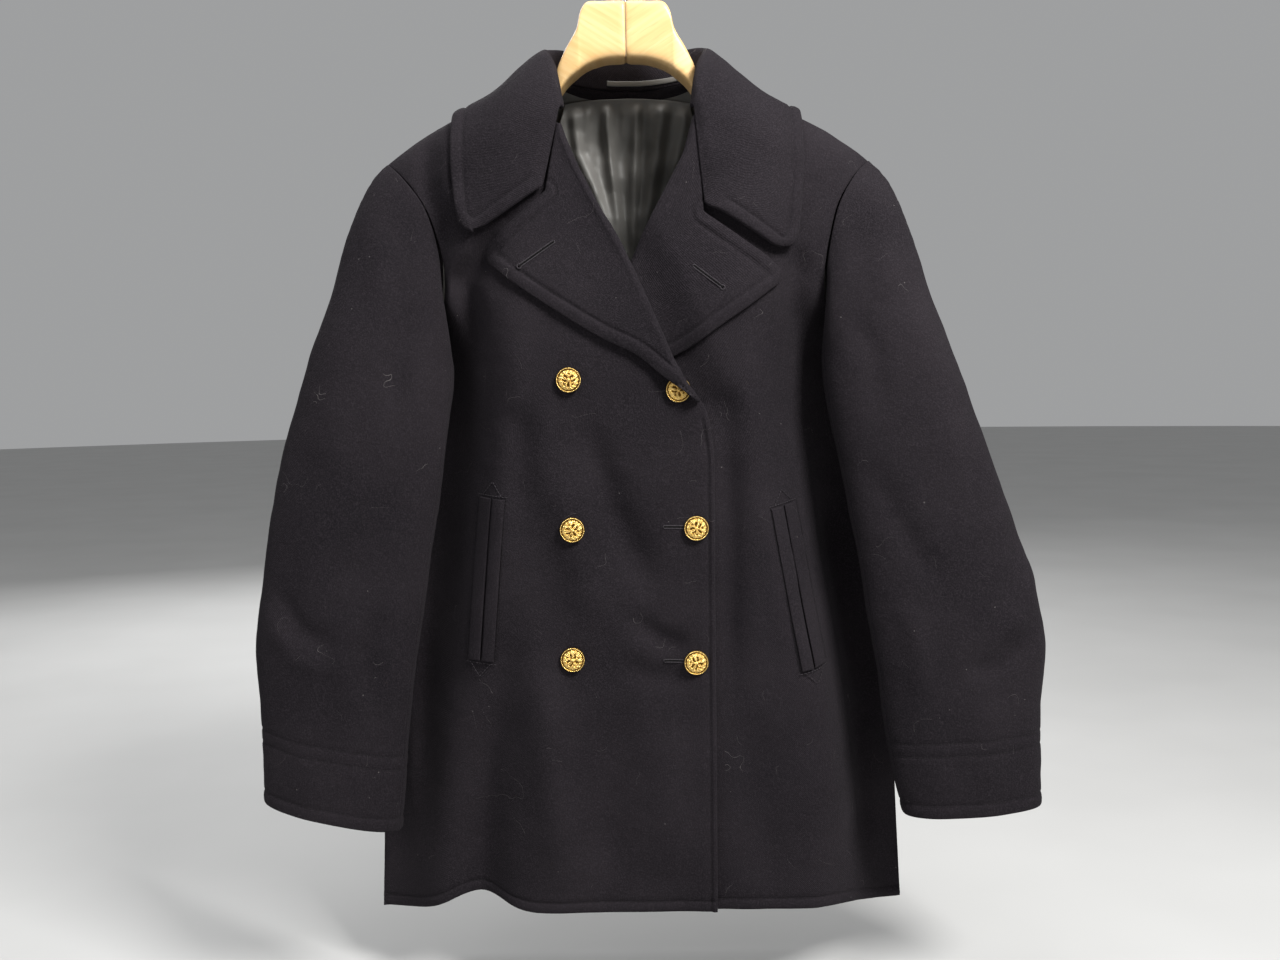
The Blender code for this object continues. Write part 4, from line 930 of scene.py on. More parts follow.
def armhole(points, side):
    """The armhole's points on one side of the coat."""
    x, y, z = points.T
    top, foot = ARMHOLE_FRONT[0, 2], ARMHOLE_FRONT[-1, 2]
    x = x - ARMHOLE_IN[side] * smooth((top - z) / 0.07) * smooth((z - foot) / 0.03)
    return np.stack([side * x, y, z - SHOULDER_TILT * side * x], -1)


def panel_grid(side, inner_x, arm, top_x, top_w, back, columns):
    """Rows from the top to the hem, columns from the inner edge outwards. top_x and
    top_w place the top row's points."""
    s = np.linspace(0, 1, columns)
    arm_x, arm_y, arm_z = curve(armhole(arm, side), np.linspace(0, 1, ARM_ROWS) ** ROW_CROWDING).T
    low = arm_z[-1]
    low_x = inner_x(low) + (arm_x[-1] - inner_x(low)) * s
    low_w = way_down(low_x, low + low_x * 0, back)
    rows = []
    for k in range(ARM_ROWS):
        t = (k / (ARM_ROWS - 1)) ** ROW_CROWDING
        x = top_x + (low_x - top_x) * t
        w = top_w + (low_w - top_w) * t
        z_in = drape(x[0], w[0])[2]
        x = x + (inner_x(z_in) - x[0]) * (1 - s) ** 1.5 * (1 if k else 0)
        x = x + (arm_x[k] - x[-1]) * s ** 3
        w_arm = way_down(arm_x[k], arm_z[k], back) if k else 0.0
        row = drape(x, w + (w_arm - w[-1]) * s ** 3)
        row[:, 1] += (arm_y[k] - row[-1, 1]) * s ** 6
        row[:, 2] += (arm_z[k] - row[-1, 2]) * s ** 6
        rows.append(row)
    for k in range(1, SKIRT_ROWS + 1):
        t = k / SKIRT_ROWS
        z_out = low + (HEM_SIDE_Z - low) * t
        sx, sy = column(SIDE_SEAM, z_out, 1), column(SIDE_SEAM, z_out, 2)
        x_in = inner_x(low + (HEM_CENTRE_Z - low) * t)
        x = x_in + (side * sx - x_in) * s
        row = drape(x, way_down(x, low + (hem_z(x) - low) * t, back))
        row[:, 1] += (sy - row[-1, 1]) * s ** 6
        rows.append(row)
    return np.array(rows)


def under_shift(x, z):
    """How far the under front lies behind the line of the over front, which leaves room
    for its own lapel where that goes under the over front."""
    high, low, fade = UNDER_LAPEL
    lapel_room = smooth((high - z) / fade) * smooth((z - low) / fade)
    depth = WALL + LAP_GAP + (LAPEL_WALL + LAP_GAP + UNDER_ROLL) * lapel_room
    depth = depth * smooth((UNDER_TOP[0] - z) / UNDER_TOP[1])
    return depth * (1 - smooth((x - edge_x(-1, z) - UNDER_START) / UNDER_REACH))


def front_grid(side):
    top_x = side * np.linspace(0.0740, ARMHOLE_FRONT[0, 0], FRONT_COLUMNS)
    grid = panel_grid(side, lambda z: front_edge_x(side, z), ARMHOLE_FRONT, top_x, top_x * 0,
                      False, FRONT_COLUMNS)
    if side > 0:
        grid[:, :, 1] += under_shift(grid[:, :, 0], grid[:, :, 2])
    else:
        far = edge_ways(grid)["l"] / EDGE_LIFT_WIDTH
        start, fade = EDGE_LIFT_FROM
        grid[:, :, 1] -= EDGE_LIFT * np.exp(-far ** 2) * smooth((start - grid[:, :, 2]) / fade)
    return respaced(grid, (marks([FRONT_STITCH]), marks()), (marks(), marks([HEM_STITCH])))


def back_grid(side):
    """Half of the back; its top row is the back neck and then the shoulder seam."""
    neck_x = np.linspace(0, NECK[-1, 0], NECK_COLUMNS)
    neck_w = column(NECK, neck_x, 1)
    shoulder_x = np.linspace(NECK[-1, 0], ARMHOLE_BACK[0, 0], BACK_COLUMNS - NECK_COLUMNS + 1)[1:]
    top_x = side * np.r_[neck_x, shoulder_x]
    top_w = np.r_[neck_w, shoulder_x * 0]
    grid = panel_grid(side, lambda z: 0.0, ARMHOLE_BACK, top_x, top_w, True, BACK_COLUMNS)
    return respaced(grid, (marks(), marks()), (marks(), marks([HEM_STITCH])))


def cell_mask(points_mask):
    return points_mask[:-1, :-1] & points_mask[1:, 1:]


def panel_meetings(side, grid, ways):
    """Where a panel's wall turns to meet the next: outwards at the side, up at the top."""
    below_arm = smooth((UNDERARM_Z - grid[..., 2]) / UNDERARM_FADE)
    from_side = np.where(below_arm > 0, ways["r"] + UNDERARM_FADE * (1 - below_arm), 1.0)
    return [(ways["t"], TOP_BEND, (0, 0, 1.0)), (from_side, SEAM_BEND, (side, 0, 0))]


def body_panels(materials, paths):
    made = {}
    for side, word in SIDES:
        grid = pull_in(front_grid(side))
        ways = edge_ways(grid)
        below_break = smooth((BREAK_Z[side] - BELOW_BREAK[0] - grid[..., 2]) / BELOW_BREAK[1])
        made["front_" + word] = body_panel(
            "front_" + word, side, grid, FORWARD, materials, paths,
            facing=ways["l"] < FACING_WIDTH, stitches=[(ways["l"], FRONT_STITCH, below_break)])
        grid = pull_in(back_grid(side))
        grid[:, 0, 0] = -side * CENTRE_LAP
        made["back_" + word] = body_panel(
            "back_" + word, side, grid, BACKWARD, materials, paths,
            meetings=[(edge_ways(grid)["l"], CENTRE_BEND, BACKWARD)])
    return made


def body_panel(name, side, grid, outward, materials, paths, facing=False, stitches=(),
               meetings=()):
    """A front or half of the back, with its facing and stitching at the hem."""
    ways = edge_ways(grid)
    hem = (ways["b"], HEM_STITCH, np.ones(grid.shape[:2]))
    made, found = cloth(name, grid, WALL, outward, materials, [*stitches, hem],
                        cell_mask(facing | (ways["b"] < HEM_FACING)),
                        meetings=[*panel_meetings(side, grid, ways), *meetings])
    paths += found
    return made


# ---- sleeves -----------------------------------------------------------------------
CAP_ROWS = 22
TUBE_ROWS = 150
SLEEVE_EASING = 6        # rounds of easing
RING_UNDERARM = 0.16     # part of the armhole's way that the underarm takes up
RING_BACKWARD = 0.03
RING_OUTWARD = 0.7
CAP_LIFT = 0.4           # rise of the cap's bulge, as part of the bulge
CAP_FORWARD = 0.006


def armhole_ring(side, n):
    """Armhole points off the cloth: 0 at the shoulder, n/2 where the inner fold starts."""
    loop = armhole(np.concatenate([ARMHOLE_FRONT, ARMHOLE_BACK[-2::-1]]), side)
    chords = lengths(loop)
    knots = chords[[0, ARMHOLE_FOLD, len(ARMHOLE_FRONT) - 1, -1]] / chords[-1]
    way = np.interp(np.arange(n), [0, n // 2, UNDERARM_WAY * n, n], knots)
    ring = curve(loop, way)
    rise = ring[:, 2] - ring[:, 2].mean()
    underarm = smooth(1 - np.abs(way - knots[2]) / RING_UNDERARM)
    forward = np.minimum(ring[:, 1] - ARMHOLE_MIDDLE_Y, 0)
    away = unit(np.stack([side * RING_OUTWARD * np.maximum(-rise, 0),
                          np.where(way > knots[2], RING_BACKWARD, forward),
                          np.maximum(rise, 0)], -1))
    ring = ring + away * SLEEVE_STAND + np.array([side * SLEEVE_STAND_OUT, 0, 0])
    return ring + underarm[:, None] * np.array([side * UNDERARM_OUT, 0, UNDERARM_UP])


def tube_ring(row, n):
    """A sleeve's cross-section: a flattened oval from its outer fold to its inner fold."""
    z_out, x_out, x_in, y_mid, half_depth, drop = row
    phi = circle(n)
    c = bent(np.cos(phi), 0.9)
    x = (x_out + x_in) / 2 + (x_out - x_in) / 2 * c
    y = y_mid - half_depth * bent(np.sin(phi), 0.85)
    return np.stack([x, y, z_out - drop * (1 - c) / 2], -1)


def sleeve_grid(side):
    table = SLEEVE[side]
    n = SLEEVE_COLUMNS
    phi = circle(n)
    first, arm = tube_ring(table[0], n), armhole_ring(side, n)
    rings = []
    for k in range(CAP_ROWS):
        t = k / CAP_ROWS
        ring = arm + (first - arm) * t
        bulge = CAP_BULGE * math.sin(math.pi * t ** 0.6) * np.clip(np.cos(phi), 0, 1) ** 0.7
        ring[:, 0] += side * bulge
        ring[:, 2] += CAP_LIFT * bulge
        forward = CAP_FORWARD * math.sin(math.pi * t) * np.clip(-np.cos(phi), 0, 1)
        ring[:, 1] -= forward * np.clip(np.sin(phi) + 0.5, 0, 1)
        rings.append(ring)
    counted = np.column_stack([np.arange(len(table)), table])
    for at in np.linspace(0, len(table) - 1, TUBE_ROWS):
        rings.append(tube_ring([column(counted, at, c) for c in range(1, 7)], n))
    grid = np.array(rings)
    for _ in range(SLEEVE_EASING):
        grid[1:-1] = eased(grid[1:-1], grid[:-2], grid[2:])
        grid = eased(grid, np.roll(grid, 1, 1), np.roll(grid, -1, 1))
    return grid


def sleeve_folded(grid, side):
    """The sleeve with its folds, pushed along the cloth's normal."""
    wide = np.concatenate([grid[:, -1:], grid, grid[:, :1]], 1)
    normals = unit(np.cross(np.gradient(wide, axis=1), np.gradient(wide, axis=0)))[:, 1:-1]
    centre = grid.mean(1, keepdims=True)
    if np.sum(normals * (grid - centre)) < 0:
        normals = -normals
    height = np.zeros(grid.shape[:2])
    for face in (-1, 1):
        folds = [fold[:3] for fold in SLEEVE_FOLDS[side] if fold[3] == face]
        facing = smooth(face * normals[..., 1] / 0.5)
        height = height + facing * fold_field(grid[..., 0], grid[..., 2], folds)
    start = smooth(np.arange(len(grid)) / (0.8 * CAP_ROWS))[:, None]
    return grid + normals * (SLEEVE_FOLD_SCALE * height * start)[..., None]


def sleeves(materials, paths):
    made = {}
    for side, word in SIDES:
        grid = sleeve_folded(sleeve_grid(side), side)
        n = SLEEVE_COLUMNS
        start, under_way = int(UNDER_SLEEVE_FROM * n), int(UNDER_SLEEVE_WAY * n)
        under = [(start + k) % n for k in range(under_way + 1)]
        upper = [(start + under_way + k) % n for k in range(n - under_way + 1)]
        for cols, piece in ((upper, "sleeve_upper_"), (under, "sleeve_under_")):
            part = respaced(grid[:, cols], (marks(), marks()), (marks(), marks(CUFF_STITCHES)))
            part = pull_in(part)
            up = edge_ways(part)["b"]
            stitches = [(up, at, np.full(part.shape[:2], CUFF_GROOVE)) for at in CUFF_STITCHES]
            made[piece + word], found = cloth(
                piece + word, part, WALL, part - sleeve_middle(side, part), materials, stitches,
                cell_mask(up < HEM_FACING))
            paths += found
    return made


def sleeve_middle(side, points):
    """The middle of the sleeve at the height of each point."""
    z = points[..., 2]
    x_out, x_in, y = [column(SLEEVE[side], z, k) for k in (1, 2, 3)]
    return np.stack([(x_out + x_in) / 2, y, z], -1)


# ---- lapels and collar ---------------------------------------------------------------
LAPEL_GRID = 0.0015
LAPEL_ROWS, LAPEL_COLUMNS = 170, 110
BREAK_RISE = 0.10        # at the break the lapel stands off by this part
BREAK_FADE = 0.030
GORGE_DROP = 0.004       # the lapel starts this far below the roll line's third point
ROLL_STAND = 0.6         # part of the roll that stands off next to it, and how far it reaches
ROLL_REACH = 0.012
BUTTON_BULGE = 0.022     # half-width of the lapel's rise over the upper button
OFF_THE_ROLL = 0.05      # a distance at which the roll no longer lifts the lapel
SEWN_START = 0.004       # the lapel's stitching starts this far from its seam, and fades in
SEWN_FADE = 0.006
ROLL_COLUMNS = 12
LEAF_COLUMNS = 60
STAND_COLUMNS = 22
COLLAR_STATIONS = 260
COLLAR_CORNER = 0.015
FOLD_EASING = 10         # rounds of easing over the collar's fold
# the next are stations from the collar's front point, as in COLLAR
FRONT_STATIONS = 2.2     # up to here the leaf runs to the end of the gorge seam
OVER_LAPEL = 2.8         # up to here it lies over the lapel
SEAM_STATIONS = 0.8      # up to here it is sewn to the lapel
SEAM_SHARE = (0.62, 0.2)    # part of the leaf's width sewn there, and the fade
STAND_FOOT = 0.0038      # the stand's foot lies this far off the cloth
STAND_BELOW = 0.001
NECK_MIDDLE_Y = 0.012
FREE_LEAF = 0.073        # free length of the leaf's lower edge, from its corner
LEAF_FADE = 0.004        # its stitching fades out over this
CORNER_FADE = 0.002      # and at a corner over this
# lapel buttonholes: from the eye to the inner end
LAPEL_HOLES = {-1: ((-0.0953, -0.3086), (-0.0649, -0.2880)),
               1: ((0.0801, -0.3300), (0.0554, -0.3108))}


def lapel_rise(side, z):
    """How far the lapel stands off the front: less towards the break."""
    return BREAK_RISE + (1 - BREAK_RISE) * smooth((z - BREAK_Z[side]) / BREAK_FADE)


def lapel_off(side, x, z, in_way):
    """Depth y of the lapel's outer face at x, z; in_way is its distance from the roll."""
    stand = ROLL * ROLL_STAND * np.exp(-in_way / ROLL_REACH)
    gap = (LAPEL_LIFT + stand) * lapel_rise(side, z)
    y = drape(x, way_down(x, z))[..., 1] - LAPEL_WALL - gap
    if side > 0:
        return y + under_shift(x, z)
    far = np.hypot(x - BUTTONS[1][0], z - BUTTONS[1][1])
    return y - (BUTTON_THICK + 0.0005) * np.exp(-(far / BUTTON_BULGE) ** 4)


def lapel_lines(side, rows):
    """Roll line and outer line of a lapel, row by row, and the rows on the gorge seam."""
    top_z = FRONT_EDGE[side][2, 1] - GORGE_DROP
    u = np.linspace(0, 1, rows)
    share = np.interp(u, [0, LAPEL_SEAM_ROWS, 1], [0, LAPEL_SEAM_ROLL, 1])
    z_roll = top_z + (BREAK_Z[side] - top_z) * share
    roll = np.stack([edge_x(side, z_roll), z_roll], -1)
    gorge_top = np.array([edge_x(side, top_z) + side * LAPEL_TOP, top_z])
    outline = LAPEL_OUTLINE[side]
    seam = u < LAPEL_SEAM_ROWS
    on_seam = gorge_top + (outline[0] - gorge_top) * (u / LAPEL_SEAM_ROWS)[:, None]
    free = curve(outline, (u - LAPEL_SEAM_ROWS) / (1 - LAPEL_SEAM_ROWS) * LAPEL_END)
    return roll, np.where(seam[:, None], on_seam, free), seam


def lapel_grid(side):
    """Rows from the gorge seam to the break; columns go round the roll, then outwards."""
    roll, outer, seam = lapel_lines(side, LAPEL_ROWS)
    tangent = unit(np.gradient(roll, axis=0))
    inboard = np.stack([tangent[:, 1], -tangent[:, 0]], -1)
    inboard = inboard * np.sign(-side * inboard[:, :1])
    turn = np.linspace(0.1, math.pi, ROLL_COLUMNS)[:-1]
    v = np.linspace(0, 1, LAPEL_COLUMNS)
    rows = []
    for start, end, towards in zip(roll, outer, inboard):
        rise = lapel_rise(side, start[1])
        depth = LAPEL_WALL + (LAPEL_LIFT + ROLL * ROLL_STAND) * rise + WALL
        radius = min(depth / 2, 0.45 * np.linalg.norm(end - start))
        centre = start - towards * radius
        face = lapel_off(side, centre[0], centre[1], 0.0)
        curl = centre + towards * radius * np.sin(turn)[:, None]
        leaf = centre + (end - centre) * v[:, None]
        leaf_y = lapel_off(side, *leaf.T, v * np.linalg.norm(end - centre))
        y = np.r_[face + depth / 2 + depth / 2 * np.cos(turn), leaf_y]
        rows.append(with_depth(np.r_[curl, leaf], y))
    return np.array(rows), outer[~seam]


def lapels(materials, paths):
    made = {}
    for side, word in SIDES:
        grid, free = lapel_grid(side)
        hidden, seam = np.array(EDGE_MARKS[:2]), np.array(EDGE_MARKS[:3])
        grid = pull_in(respaced(grid, (hidden, marks()), (seam, marks()), (LAPEL_GRID, LAPEL_GRID)))
        from_edge = near_line(free, grid[..., 0], grid[..., 2])[0]
        top = np.hypot(grid[..., 0] - free[0, 0], grid[..., 2] - free[0, 1])
        past_roll = smooth((edge_ways(grid)["l"] - ROLL_REACH) / SEWN_FADE)
        sewn = past_roll * smooth((top - SEWN_START) / SEWN_FADE)
        made["lapel_" + word], _ = cloth("lapel_" + word, grid, LAPEL_WALL, FORWARD, materials,
                                         [(from_edge, COLLAR_STITCH, sewn)], facing=True)
        paths += lapel_stitching(side, free)
    return made


def lapel_stitching(side, free):
    """The line of topstitching at its distance inside the lapel's free edge."""
    onward = unit(np.gradient(free, axis=0))
    inward = np.stack([onward[:, 1], -onward[:, 0]], -1) * side
    line = free + inward * COLLAR_STITCH
    line = line[near_line(free, *line.T)[0] > COLLAR_STITCH * 0.97]
    points = with_depth(line, lapel_off(side, *line.T, OFF_THE_ROLL) + STITCH_DEPTH)
    return [(points, np.tile(FORWARD, (len(points), 1)))]


def collar_leaf(side, at):
    """The leaf at a station, from the fold to its edge, and the stand's foot below it."""
    table = np.column_stack([np.arange(len(COLLAR)), COLLAR])
    fold_x, fold_w, out_x, out_w, stand_out, stand_up = [
        column(table, at, c) for c in range(1, 7)]
    v = np.linspace(0, 1, LEAF_COLUMNS)
    front = max(0.0, 1 - at / FRONT_STATIONS)
    out_w = out_w + COLLAR_RISE[side] * min(1.0, 1.6 * front)
    gorge_x, gorge_z = GORGE_END[side]
    gorge_w = way_down(gorge_x, gorge_z)
    tent = (1 - np.abs(2 * v - 1)) * front ** 1.3
    x = fold_x + (out_x - fold_x) * v + (abs(gorge_x) - (fold_x + out_x) / 2) * tent
    w = fold_w + (out_w - fold_w) * v + (gorge_w - (fold_w + out_w) / 2) * tent
    turn = (1 - smooth(1.25 * v)) ** 1.5
    flat = COLLAR_EDGE_LIFT + (LAPEL_WALL + 0.0004) * max(0.0, 1 - at / OVER_LAPEL)
    seam = smooth(1 - at / SEAM_STATIONS) * smooth((SEAM_SHARE[0] - v) / SEAM_SHARE[1])
    flat = flat + (LAPEL_WALL + LAPEL_LIFT + 0.0006 - COLLAR_WALL - flat) * seam
    leaf = drape(side * x, w, flat + COLLAR_WALL + stand_out * turn)
    leaf[:, 2] += stand_up * turn
    return leaf, drape(side * (fold_x + 0.001), fold_w, STAND_FOOT)


def collar_stand(crown, foot):
    """The stand inside the neck, from its foot up to just below the fold's crown."""
    inward = unit(np.array([-crown[0], NECK_MIDDLE_Y - crown[1], 0.0]))
    f = np.arange(STAND_COLUMNS, 0, -1)[:, None] / STAND_COLUMNS
    line = crown + (foot - crown) * f - np.array([0, 0, STAND_BELOW])
    return line + inward * STAND_INSIDE * np.minimum(1.0, 2 * f)


def collar_rows():
    """The collar's outer face: up the stand inside the neck, over the fold, down the leaf."""
    rows = []
    for s in np.linspace(-1, 1, COLLAR_STATIONS):
        leaf, foot = collar_leaf(-1 if s < 0 else 1, (1 - abs(s)) * (len(COLLAR) - 1))
        rows.append(np.concatenate([collar_stand(leaf[0], foot), leaf]))
    grid = np.array(rows)
    near, low, high = [slice(STAND_COLUMNS - 8 + k, STAND_COLUMNS + 8 + k) for k in (0, -1, 1)]
    for _ in range(FOLD_EASING):
        grid[:, near] = eased(grid[:, near], grid[:, low], grid[:, high])
    grid[1:-1] = eased(grid[1:-1], grid[:-2], grid[2:])
    return grid


def collar(materials, paths):
    stitch = marks([COLLAR_STITCH])
    grid = respaced(collar_rows(), (marks(), stitch), (stitch, stitch))
    grid = round_corner(round_corner(grid, 0, -1, COLLAR_CORNER), -1, -1, COLLAR_CORNER)
    ways = edge_ways(grid)
    end = np.minimum(ways["t"], ways["b"])
    leaf = smooth((FREE_LEAF - ways["r"]) / LEAF_FADE)
    inside = smooth((end - COLLAR_STITCH + CORNER_FADE) / CORNER_FADE)
    past_edge = smooth((ways["r"] - COLLAR_STITCH + CORNER_FADE) / CORNER_FADE)
    sewn = [(ways["r"], COLLAR_STITCH, inside)]
    sewn += [(ways[k], COLLAR_STITCH, leaf * past_edge) for k in "tb"]
    round_way = COLLAR_CORNER - np.hypot(np.maximum(COLLAR_CORNER - ways["r"], 0),
                                         np.maximum(COLLAR_CORNER - end, 0))
    in_corner = np.maximum(ways["r"], end) < COLLAR_CORNER
    border = np.where(in_corner, round_way, np.minimum(ways["r"], end))
    border_on = np.where(ways["r"] > end, leaf, 1.0)
    radial = grid * (1, 1, 0) - (0, NECK_MIDDLE_Y, 0)
    made, found = cloth("collar", grid, COLLAR_WALL, radial, materials,
                        [(border, COLLAR_STITCH, border_on)], facing=True, sewn=sewn)
    paths += found
    return made


# ---- trimmings -----------------------------------------------------------------------
def on_front(x, z, off):
    """Point off the front's outer face, over front or under front."""
    p = drape(x, way_down(x, z), 0).copy()
    p[..., 1] -= off
    p[..., 1] += np.where(x > FRONT_EDGE[-1][:, 0].max(), under_shift(x, z), 0.0)
    return p


# rings of leaves on a button: how many, their turn, tip, foot and height
BUTTON_LEAVES = ((8, 0.0, 0.81, 0.36, 1.00), (8, 0.5, 0.80, 0.52, 0.85), (5, 0.2, 0.44, 0.12, 0.95))
BUTTON_RELIEF = 0.0011
BUTTON_LEAF_WIDTH = 0.36     # as part of a leaf's share of the ring
BUTTON_TURN = math.radians(17)    # each button is sewn on this much further round
BUTTON_STAND = 0.0007    # room between a button's back and the cloth
ROPE_AT, ROPE_GROOVE_AT = 0.93, 0.845    # as parts of the radius
ROPE_STRANDS = 44
BOSS = 0.17
# the button's back from its rim inwards: part of the radius and of the thickness
BUTTON_BACK = np.array([(1.0, 0.45), (0.985, 0.33), (0.92, 0.26), (0.60, 0.0)])
BUTTON_RINGS = 46
BUTTON_SEGMENTS = 176


def button_relief(r, angle):
    """Height of the relief over the button's dome: rope rim, rings of leaves and boss."""
    twist = np.cos(ROPE_STRANDS * angle + 34 * (r - ROPE_AT))
    rope = np.exp(-((r - ROPE_AT) / 0.05) ** 2) * (0.70 + 0.30 * twist)
    groove = -0.3 * np.exp(-((r - ROPE_GROOVE_AT) / 0.03) ** 2)
    relief = rope + groove
    for count, turn, tip, base, height in BUTTON_LEAVES:
        part = (angle * count / (2 * math.pi) + turn + 0.10 * np.sin(5 * r)) % 1 - 0.5
        along = (r - base) / (tip - base)
        width = BUTTON_LEAF_WIDTH * np.sqrt(np.clip(4 * along * (1 - along), 0, 1)) + 1e-6
        width = width * (1 + 0.16 * np.cos(24 * along))
        across = np.abs(part) / width
        blade = np.where((along > 0) & (along < 1), np.sqrt(np.clip(1 - across ** 2, 0, 1)), 0)
        vein = 1 - 0.60 * np.exp(-(part / 0.05) ** 2)
        ribs = 1 - 0.45 * (0.5 + 0.5 * np.cos(22 * along + 22 * np.abs(part)))
        relief = np.maximum(relief, height * blade * vein * ribs)
    boss = np.sqrt(np.clip(1 - (r / BOSS) ** 2, 0, 1)) * (0.80 + 0.20 * np.cos(6 * angle))
    return np.maximum(relief, 1.05 * boss)


def buttons(material):
    made = []
    radius, thick = BUTTON_DIAMETER / 2, BUTTON_THICK
    r = np.r_[0.02, np.linspace(0.05, 1.0, BUTTON_RINGS)]
    angle = circle(BUTTON_SEGMENTS)
    rr, aa = np.meshgrid(r, angle, indexing="ij")
    relief = button_relief(rr, aa) * smooth((1.0 - rr) / 0.05)
    dome = thick * (0.62 + 0.30 * (1 - rr ** 2)) * np.where(rr > 0.97, 0.94, 1.0)
    height = dome + BUTTON_RELIEF * relief
    back_r = BUTTON_BACK[:, :1] + 0 * angle
    back_h = thick * BUTTON_BACK[:, 1:] + 0 * angle
    all_r = np.concatenate([rr, back_r]) * radius
    all_h = np.concatenate([height, back_h])
    # painted shade and highlight for the gilt: dark in the relief's hollows, pale on its tops, a
    # middle tone on the back
    shade = np.clip(0.25 + 0.75 * np.concatenate([relief, 0 * back_r + 0.4]), 0, 1)
    for k, (x, z) in enumerate(BUTTONS):
        turn = angle + BUTTON_TURN * k
        centre = on_front(np.array(x), np.array(z), BUTTON_STAND)
        rings = np.stack([centre[0] + all_r * np.cos(turn), centre[1] - all_h,
                          centre[2] + all_r * np.sin(turn)], -1)
        button = tube("button_%d" % (k + 1), rings, [material])
        layer = button.data.color_attributes.new("relief", "FLOAT_COLOR", "POINT")
        colours = np.repeat(shade.ravel()[:, None], 4, 1)
        colours[:, 3] = 1
        layer.data.foreach_set("color", colours.ravel().astype(np.float32))
        made.append(button)
    return made


def welt_axes(side):
    (x0, z0), (x1, z1) = POCKETS[side]
    down = unit(np.array([x1 - x0, z1 - z0]))
    return np.array([x0, z0]), np.array([x1, z1]), down, np.array([-down[1], down[0]]) * side


WELT_GRID = (0.0012, 0.0022)
WELT_SLIT = 0.0008       # half of the dark slit between the two welts
WELT_ROUND = 0.0005      # how far a welt rounds out in its middle
WELT_STITCH = 0.0138     # topstitching beside a welt, from the pocket's middle
WELT_STITCH_OVER = 0.001
TACK_HALF = 0.0148       # half-width and height of the tacks at a pocket's ends
TACK_REACH = 0.0125
TACK_INNER = 0.62        # half-width of the arrowhead, as part of the bar's
TACK_PAST = 0.0022


def pocket_welts(materials, paths, tacks):
    made = {}
    for side, word in SIDES:
        top, bottom, down, across = welt_axes(side)
        for sign, which in ((-1, "outer"), (1, "inner")):
            name = "welt_%s_%s" % (which, word)
            v = np.linspace(WELT_SLIT, POCKET_WELT, 24)
            t = np.linspace(0, 1, 120)
            at = top + (bottom - top) * t[:, None, None] + across * sign * v[None, :, None]
            grid = on_front(at[..., 0], at[..., 1], WELT_THICK + 0.0002)
            grid = respaced(grid, (marks(), marks()), (marks(), marks()), WELT_GRID)
            ways = edge_ways(grid)
            round_top = np.sin(math.pi * np.clip(ways["l"] / (ways["l"] + ways["r"]), 0, 1))
            grid[..., 1] -= WELT_ROUND * round_top
            made[name], _ = cloth(name, grid, WELT_THICK, FORWARD, materials, facing=True,
                                  uneven=0.2)
            past = down * WELT_STITCH_OVER
            ends = np.array([top - past, bottom + past]) + across * sign * WELT_STITCH
            paths.append(surface_line(ends, 60))
        tacks += arrowheads(top, bottom, down, across)
    return made


def surface_line(points, count, off=0.0002):
    """A line of thread on the front through points x, z, with its normals."""
    way = lengths(points)
    x, z = resample(points, np.linspace(0, way[-1], count), way).T
    return on_front(x, z, off), np.tile(FORWARD, (count, 1))


def arrowheads(top, bottom, down, across):
    """The bar and the arrowhead tack sewn at each end of a pocket."""
    found = []
    for end, way in ((top, -down), (bottom, down)):
        start = end + way * TACK_PAST
        half, inner = across * TACK_HALF, across * TACK_HALF * TACK_INNER
        found.append(surface_line(np.array([start - half, start + half]), 24))
        tip = start + way * TACK_REACH
        found.append(surface_line(np.array([start - inner, tip, start + inner]), 30))
    return found


HOLE_HALF = 0.0012       # half the width of a buttonhole's slit with its stitches
HOLE_EYE = 0.0019
HOLE_TWIST = 0.00058     # radius of the ring of stitches
TWIST_RIB = 0.18         # depth between two stitches, as part of that
TWIST_PITCH = 0.0007
TWIST_LIFT = 0.0003      # the ring's middle lies this far off the cloth
HOLE_BAR = 0.0006        # and its bar this far past the slit
SLIT_LIFT = 0.00005
SLIT_RADIUS = 0.0006
HOLE_FROM = (0.002, 0.0006)       # a front buttonhole's eye, from its button
HOLE_REACH = (-0.0285, 0.0014)    # and its inner end


def buttonhole(name, eye, end, depth, materials):
    """A worked buttonhole from its round eye to its bar, and the dark slit inside it."""
    eye, end = np.array(eye), np.array(end)
    length = np.linalg.norm(end - eye)
    inward = (end - eye) / length
    across = np.array([-inward[1], inward[0]])
    turn = np.linspace(math.radians(40), math.radians(320), 40)
    loop = [(HOLE_EYE * math.cos(a), HOLE_EYE * math.sin(a)) for a in turn]
    straight = np.linspace(HOLE_EYE * 0.9, length, 90)
    bar = [(length + HOLE_BAR, -HOLE_HALF * 0.5), (length + HOLE_BAR, HOLE_HALF * 0.5)]
    path = [(a, HOLE_HALF) for a in straight[::-1]] + loop
    path = np.array(path + [(a, -HOLE_HALF) for a in straight] + bar)
    flat = eye + path[:, :1] * inward + path[:, 1:] * across
    points = with_depth(flat, depth(*flat.T) - TWIST_LIFT)
    way = lengths(points)
    at = np.linspace(0, way[-1], 360)
    ribs = np.abs(np.sin(math.pi * at / TWIST_PITCH))
    rings = rings_along(resample(points, at, way), HOLE_TWIST * (1 - TWIST_RIB + TWIST_RIB * ribs),
                        8, BACKWARD)
    slit = eye + np.linspace(-0.3 * HOLE_EYE, length, 40)[:, None] * inward
    dark = rings_along(with_depth(slit, depth(*slit.T) - SLIT_LIFT), SLIT_RADIUS, 6, BACKWARD)
    return [tube(name, rings, [materials["twist"]]),
            tube(name + "_slit", dark, [materials["dark"]])]


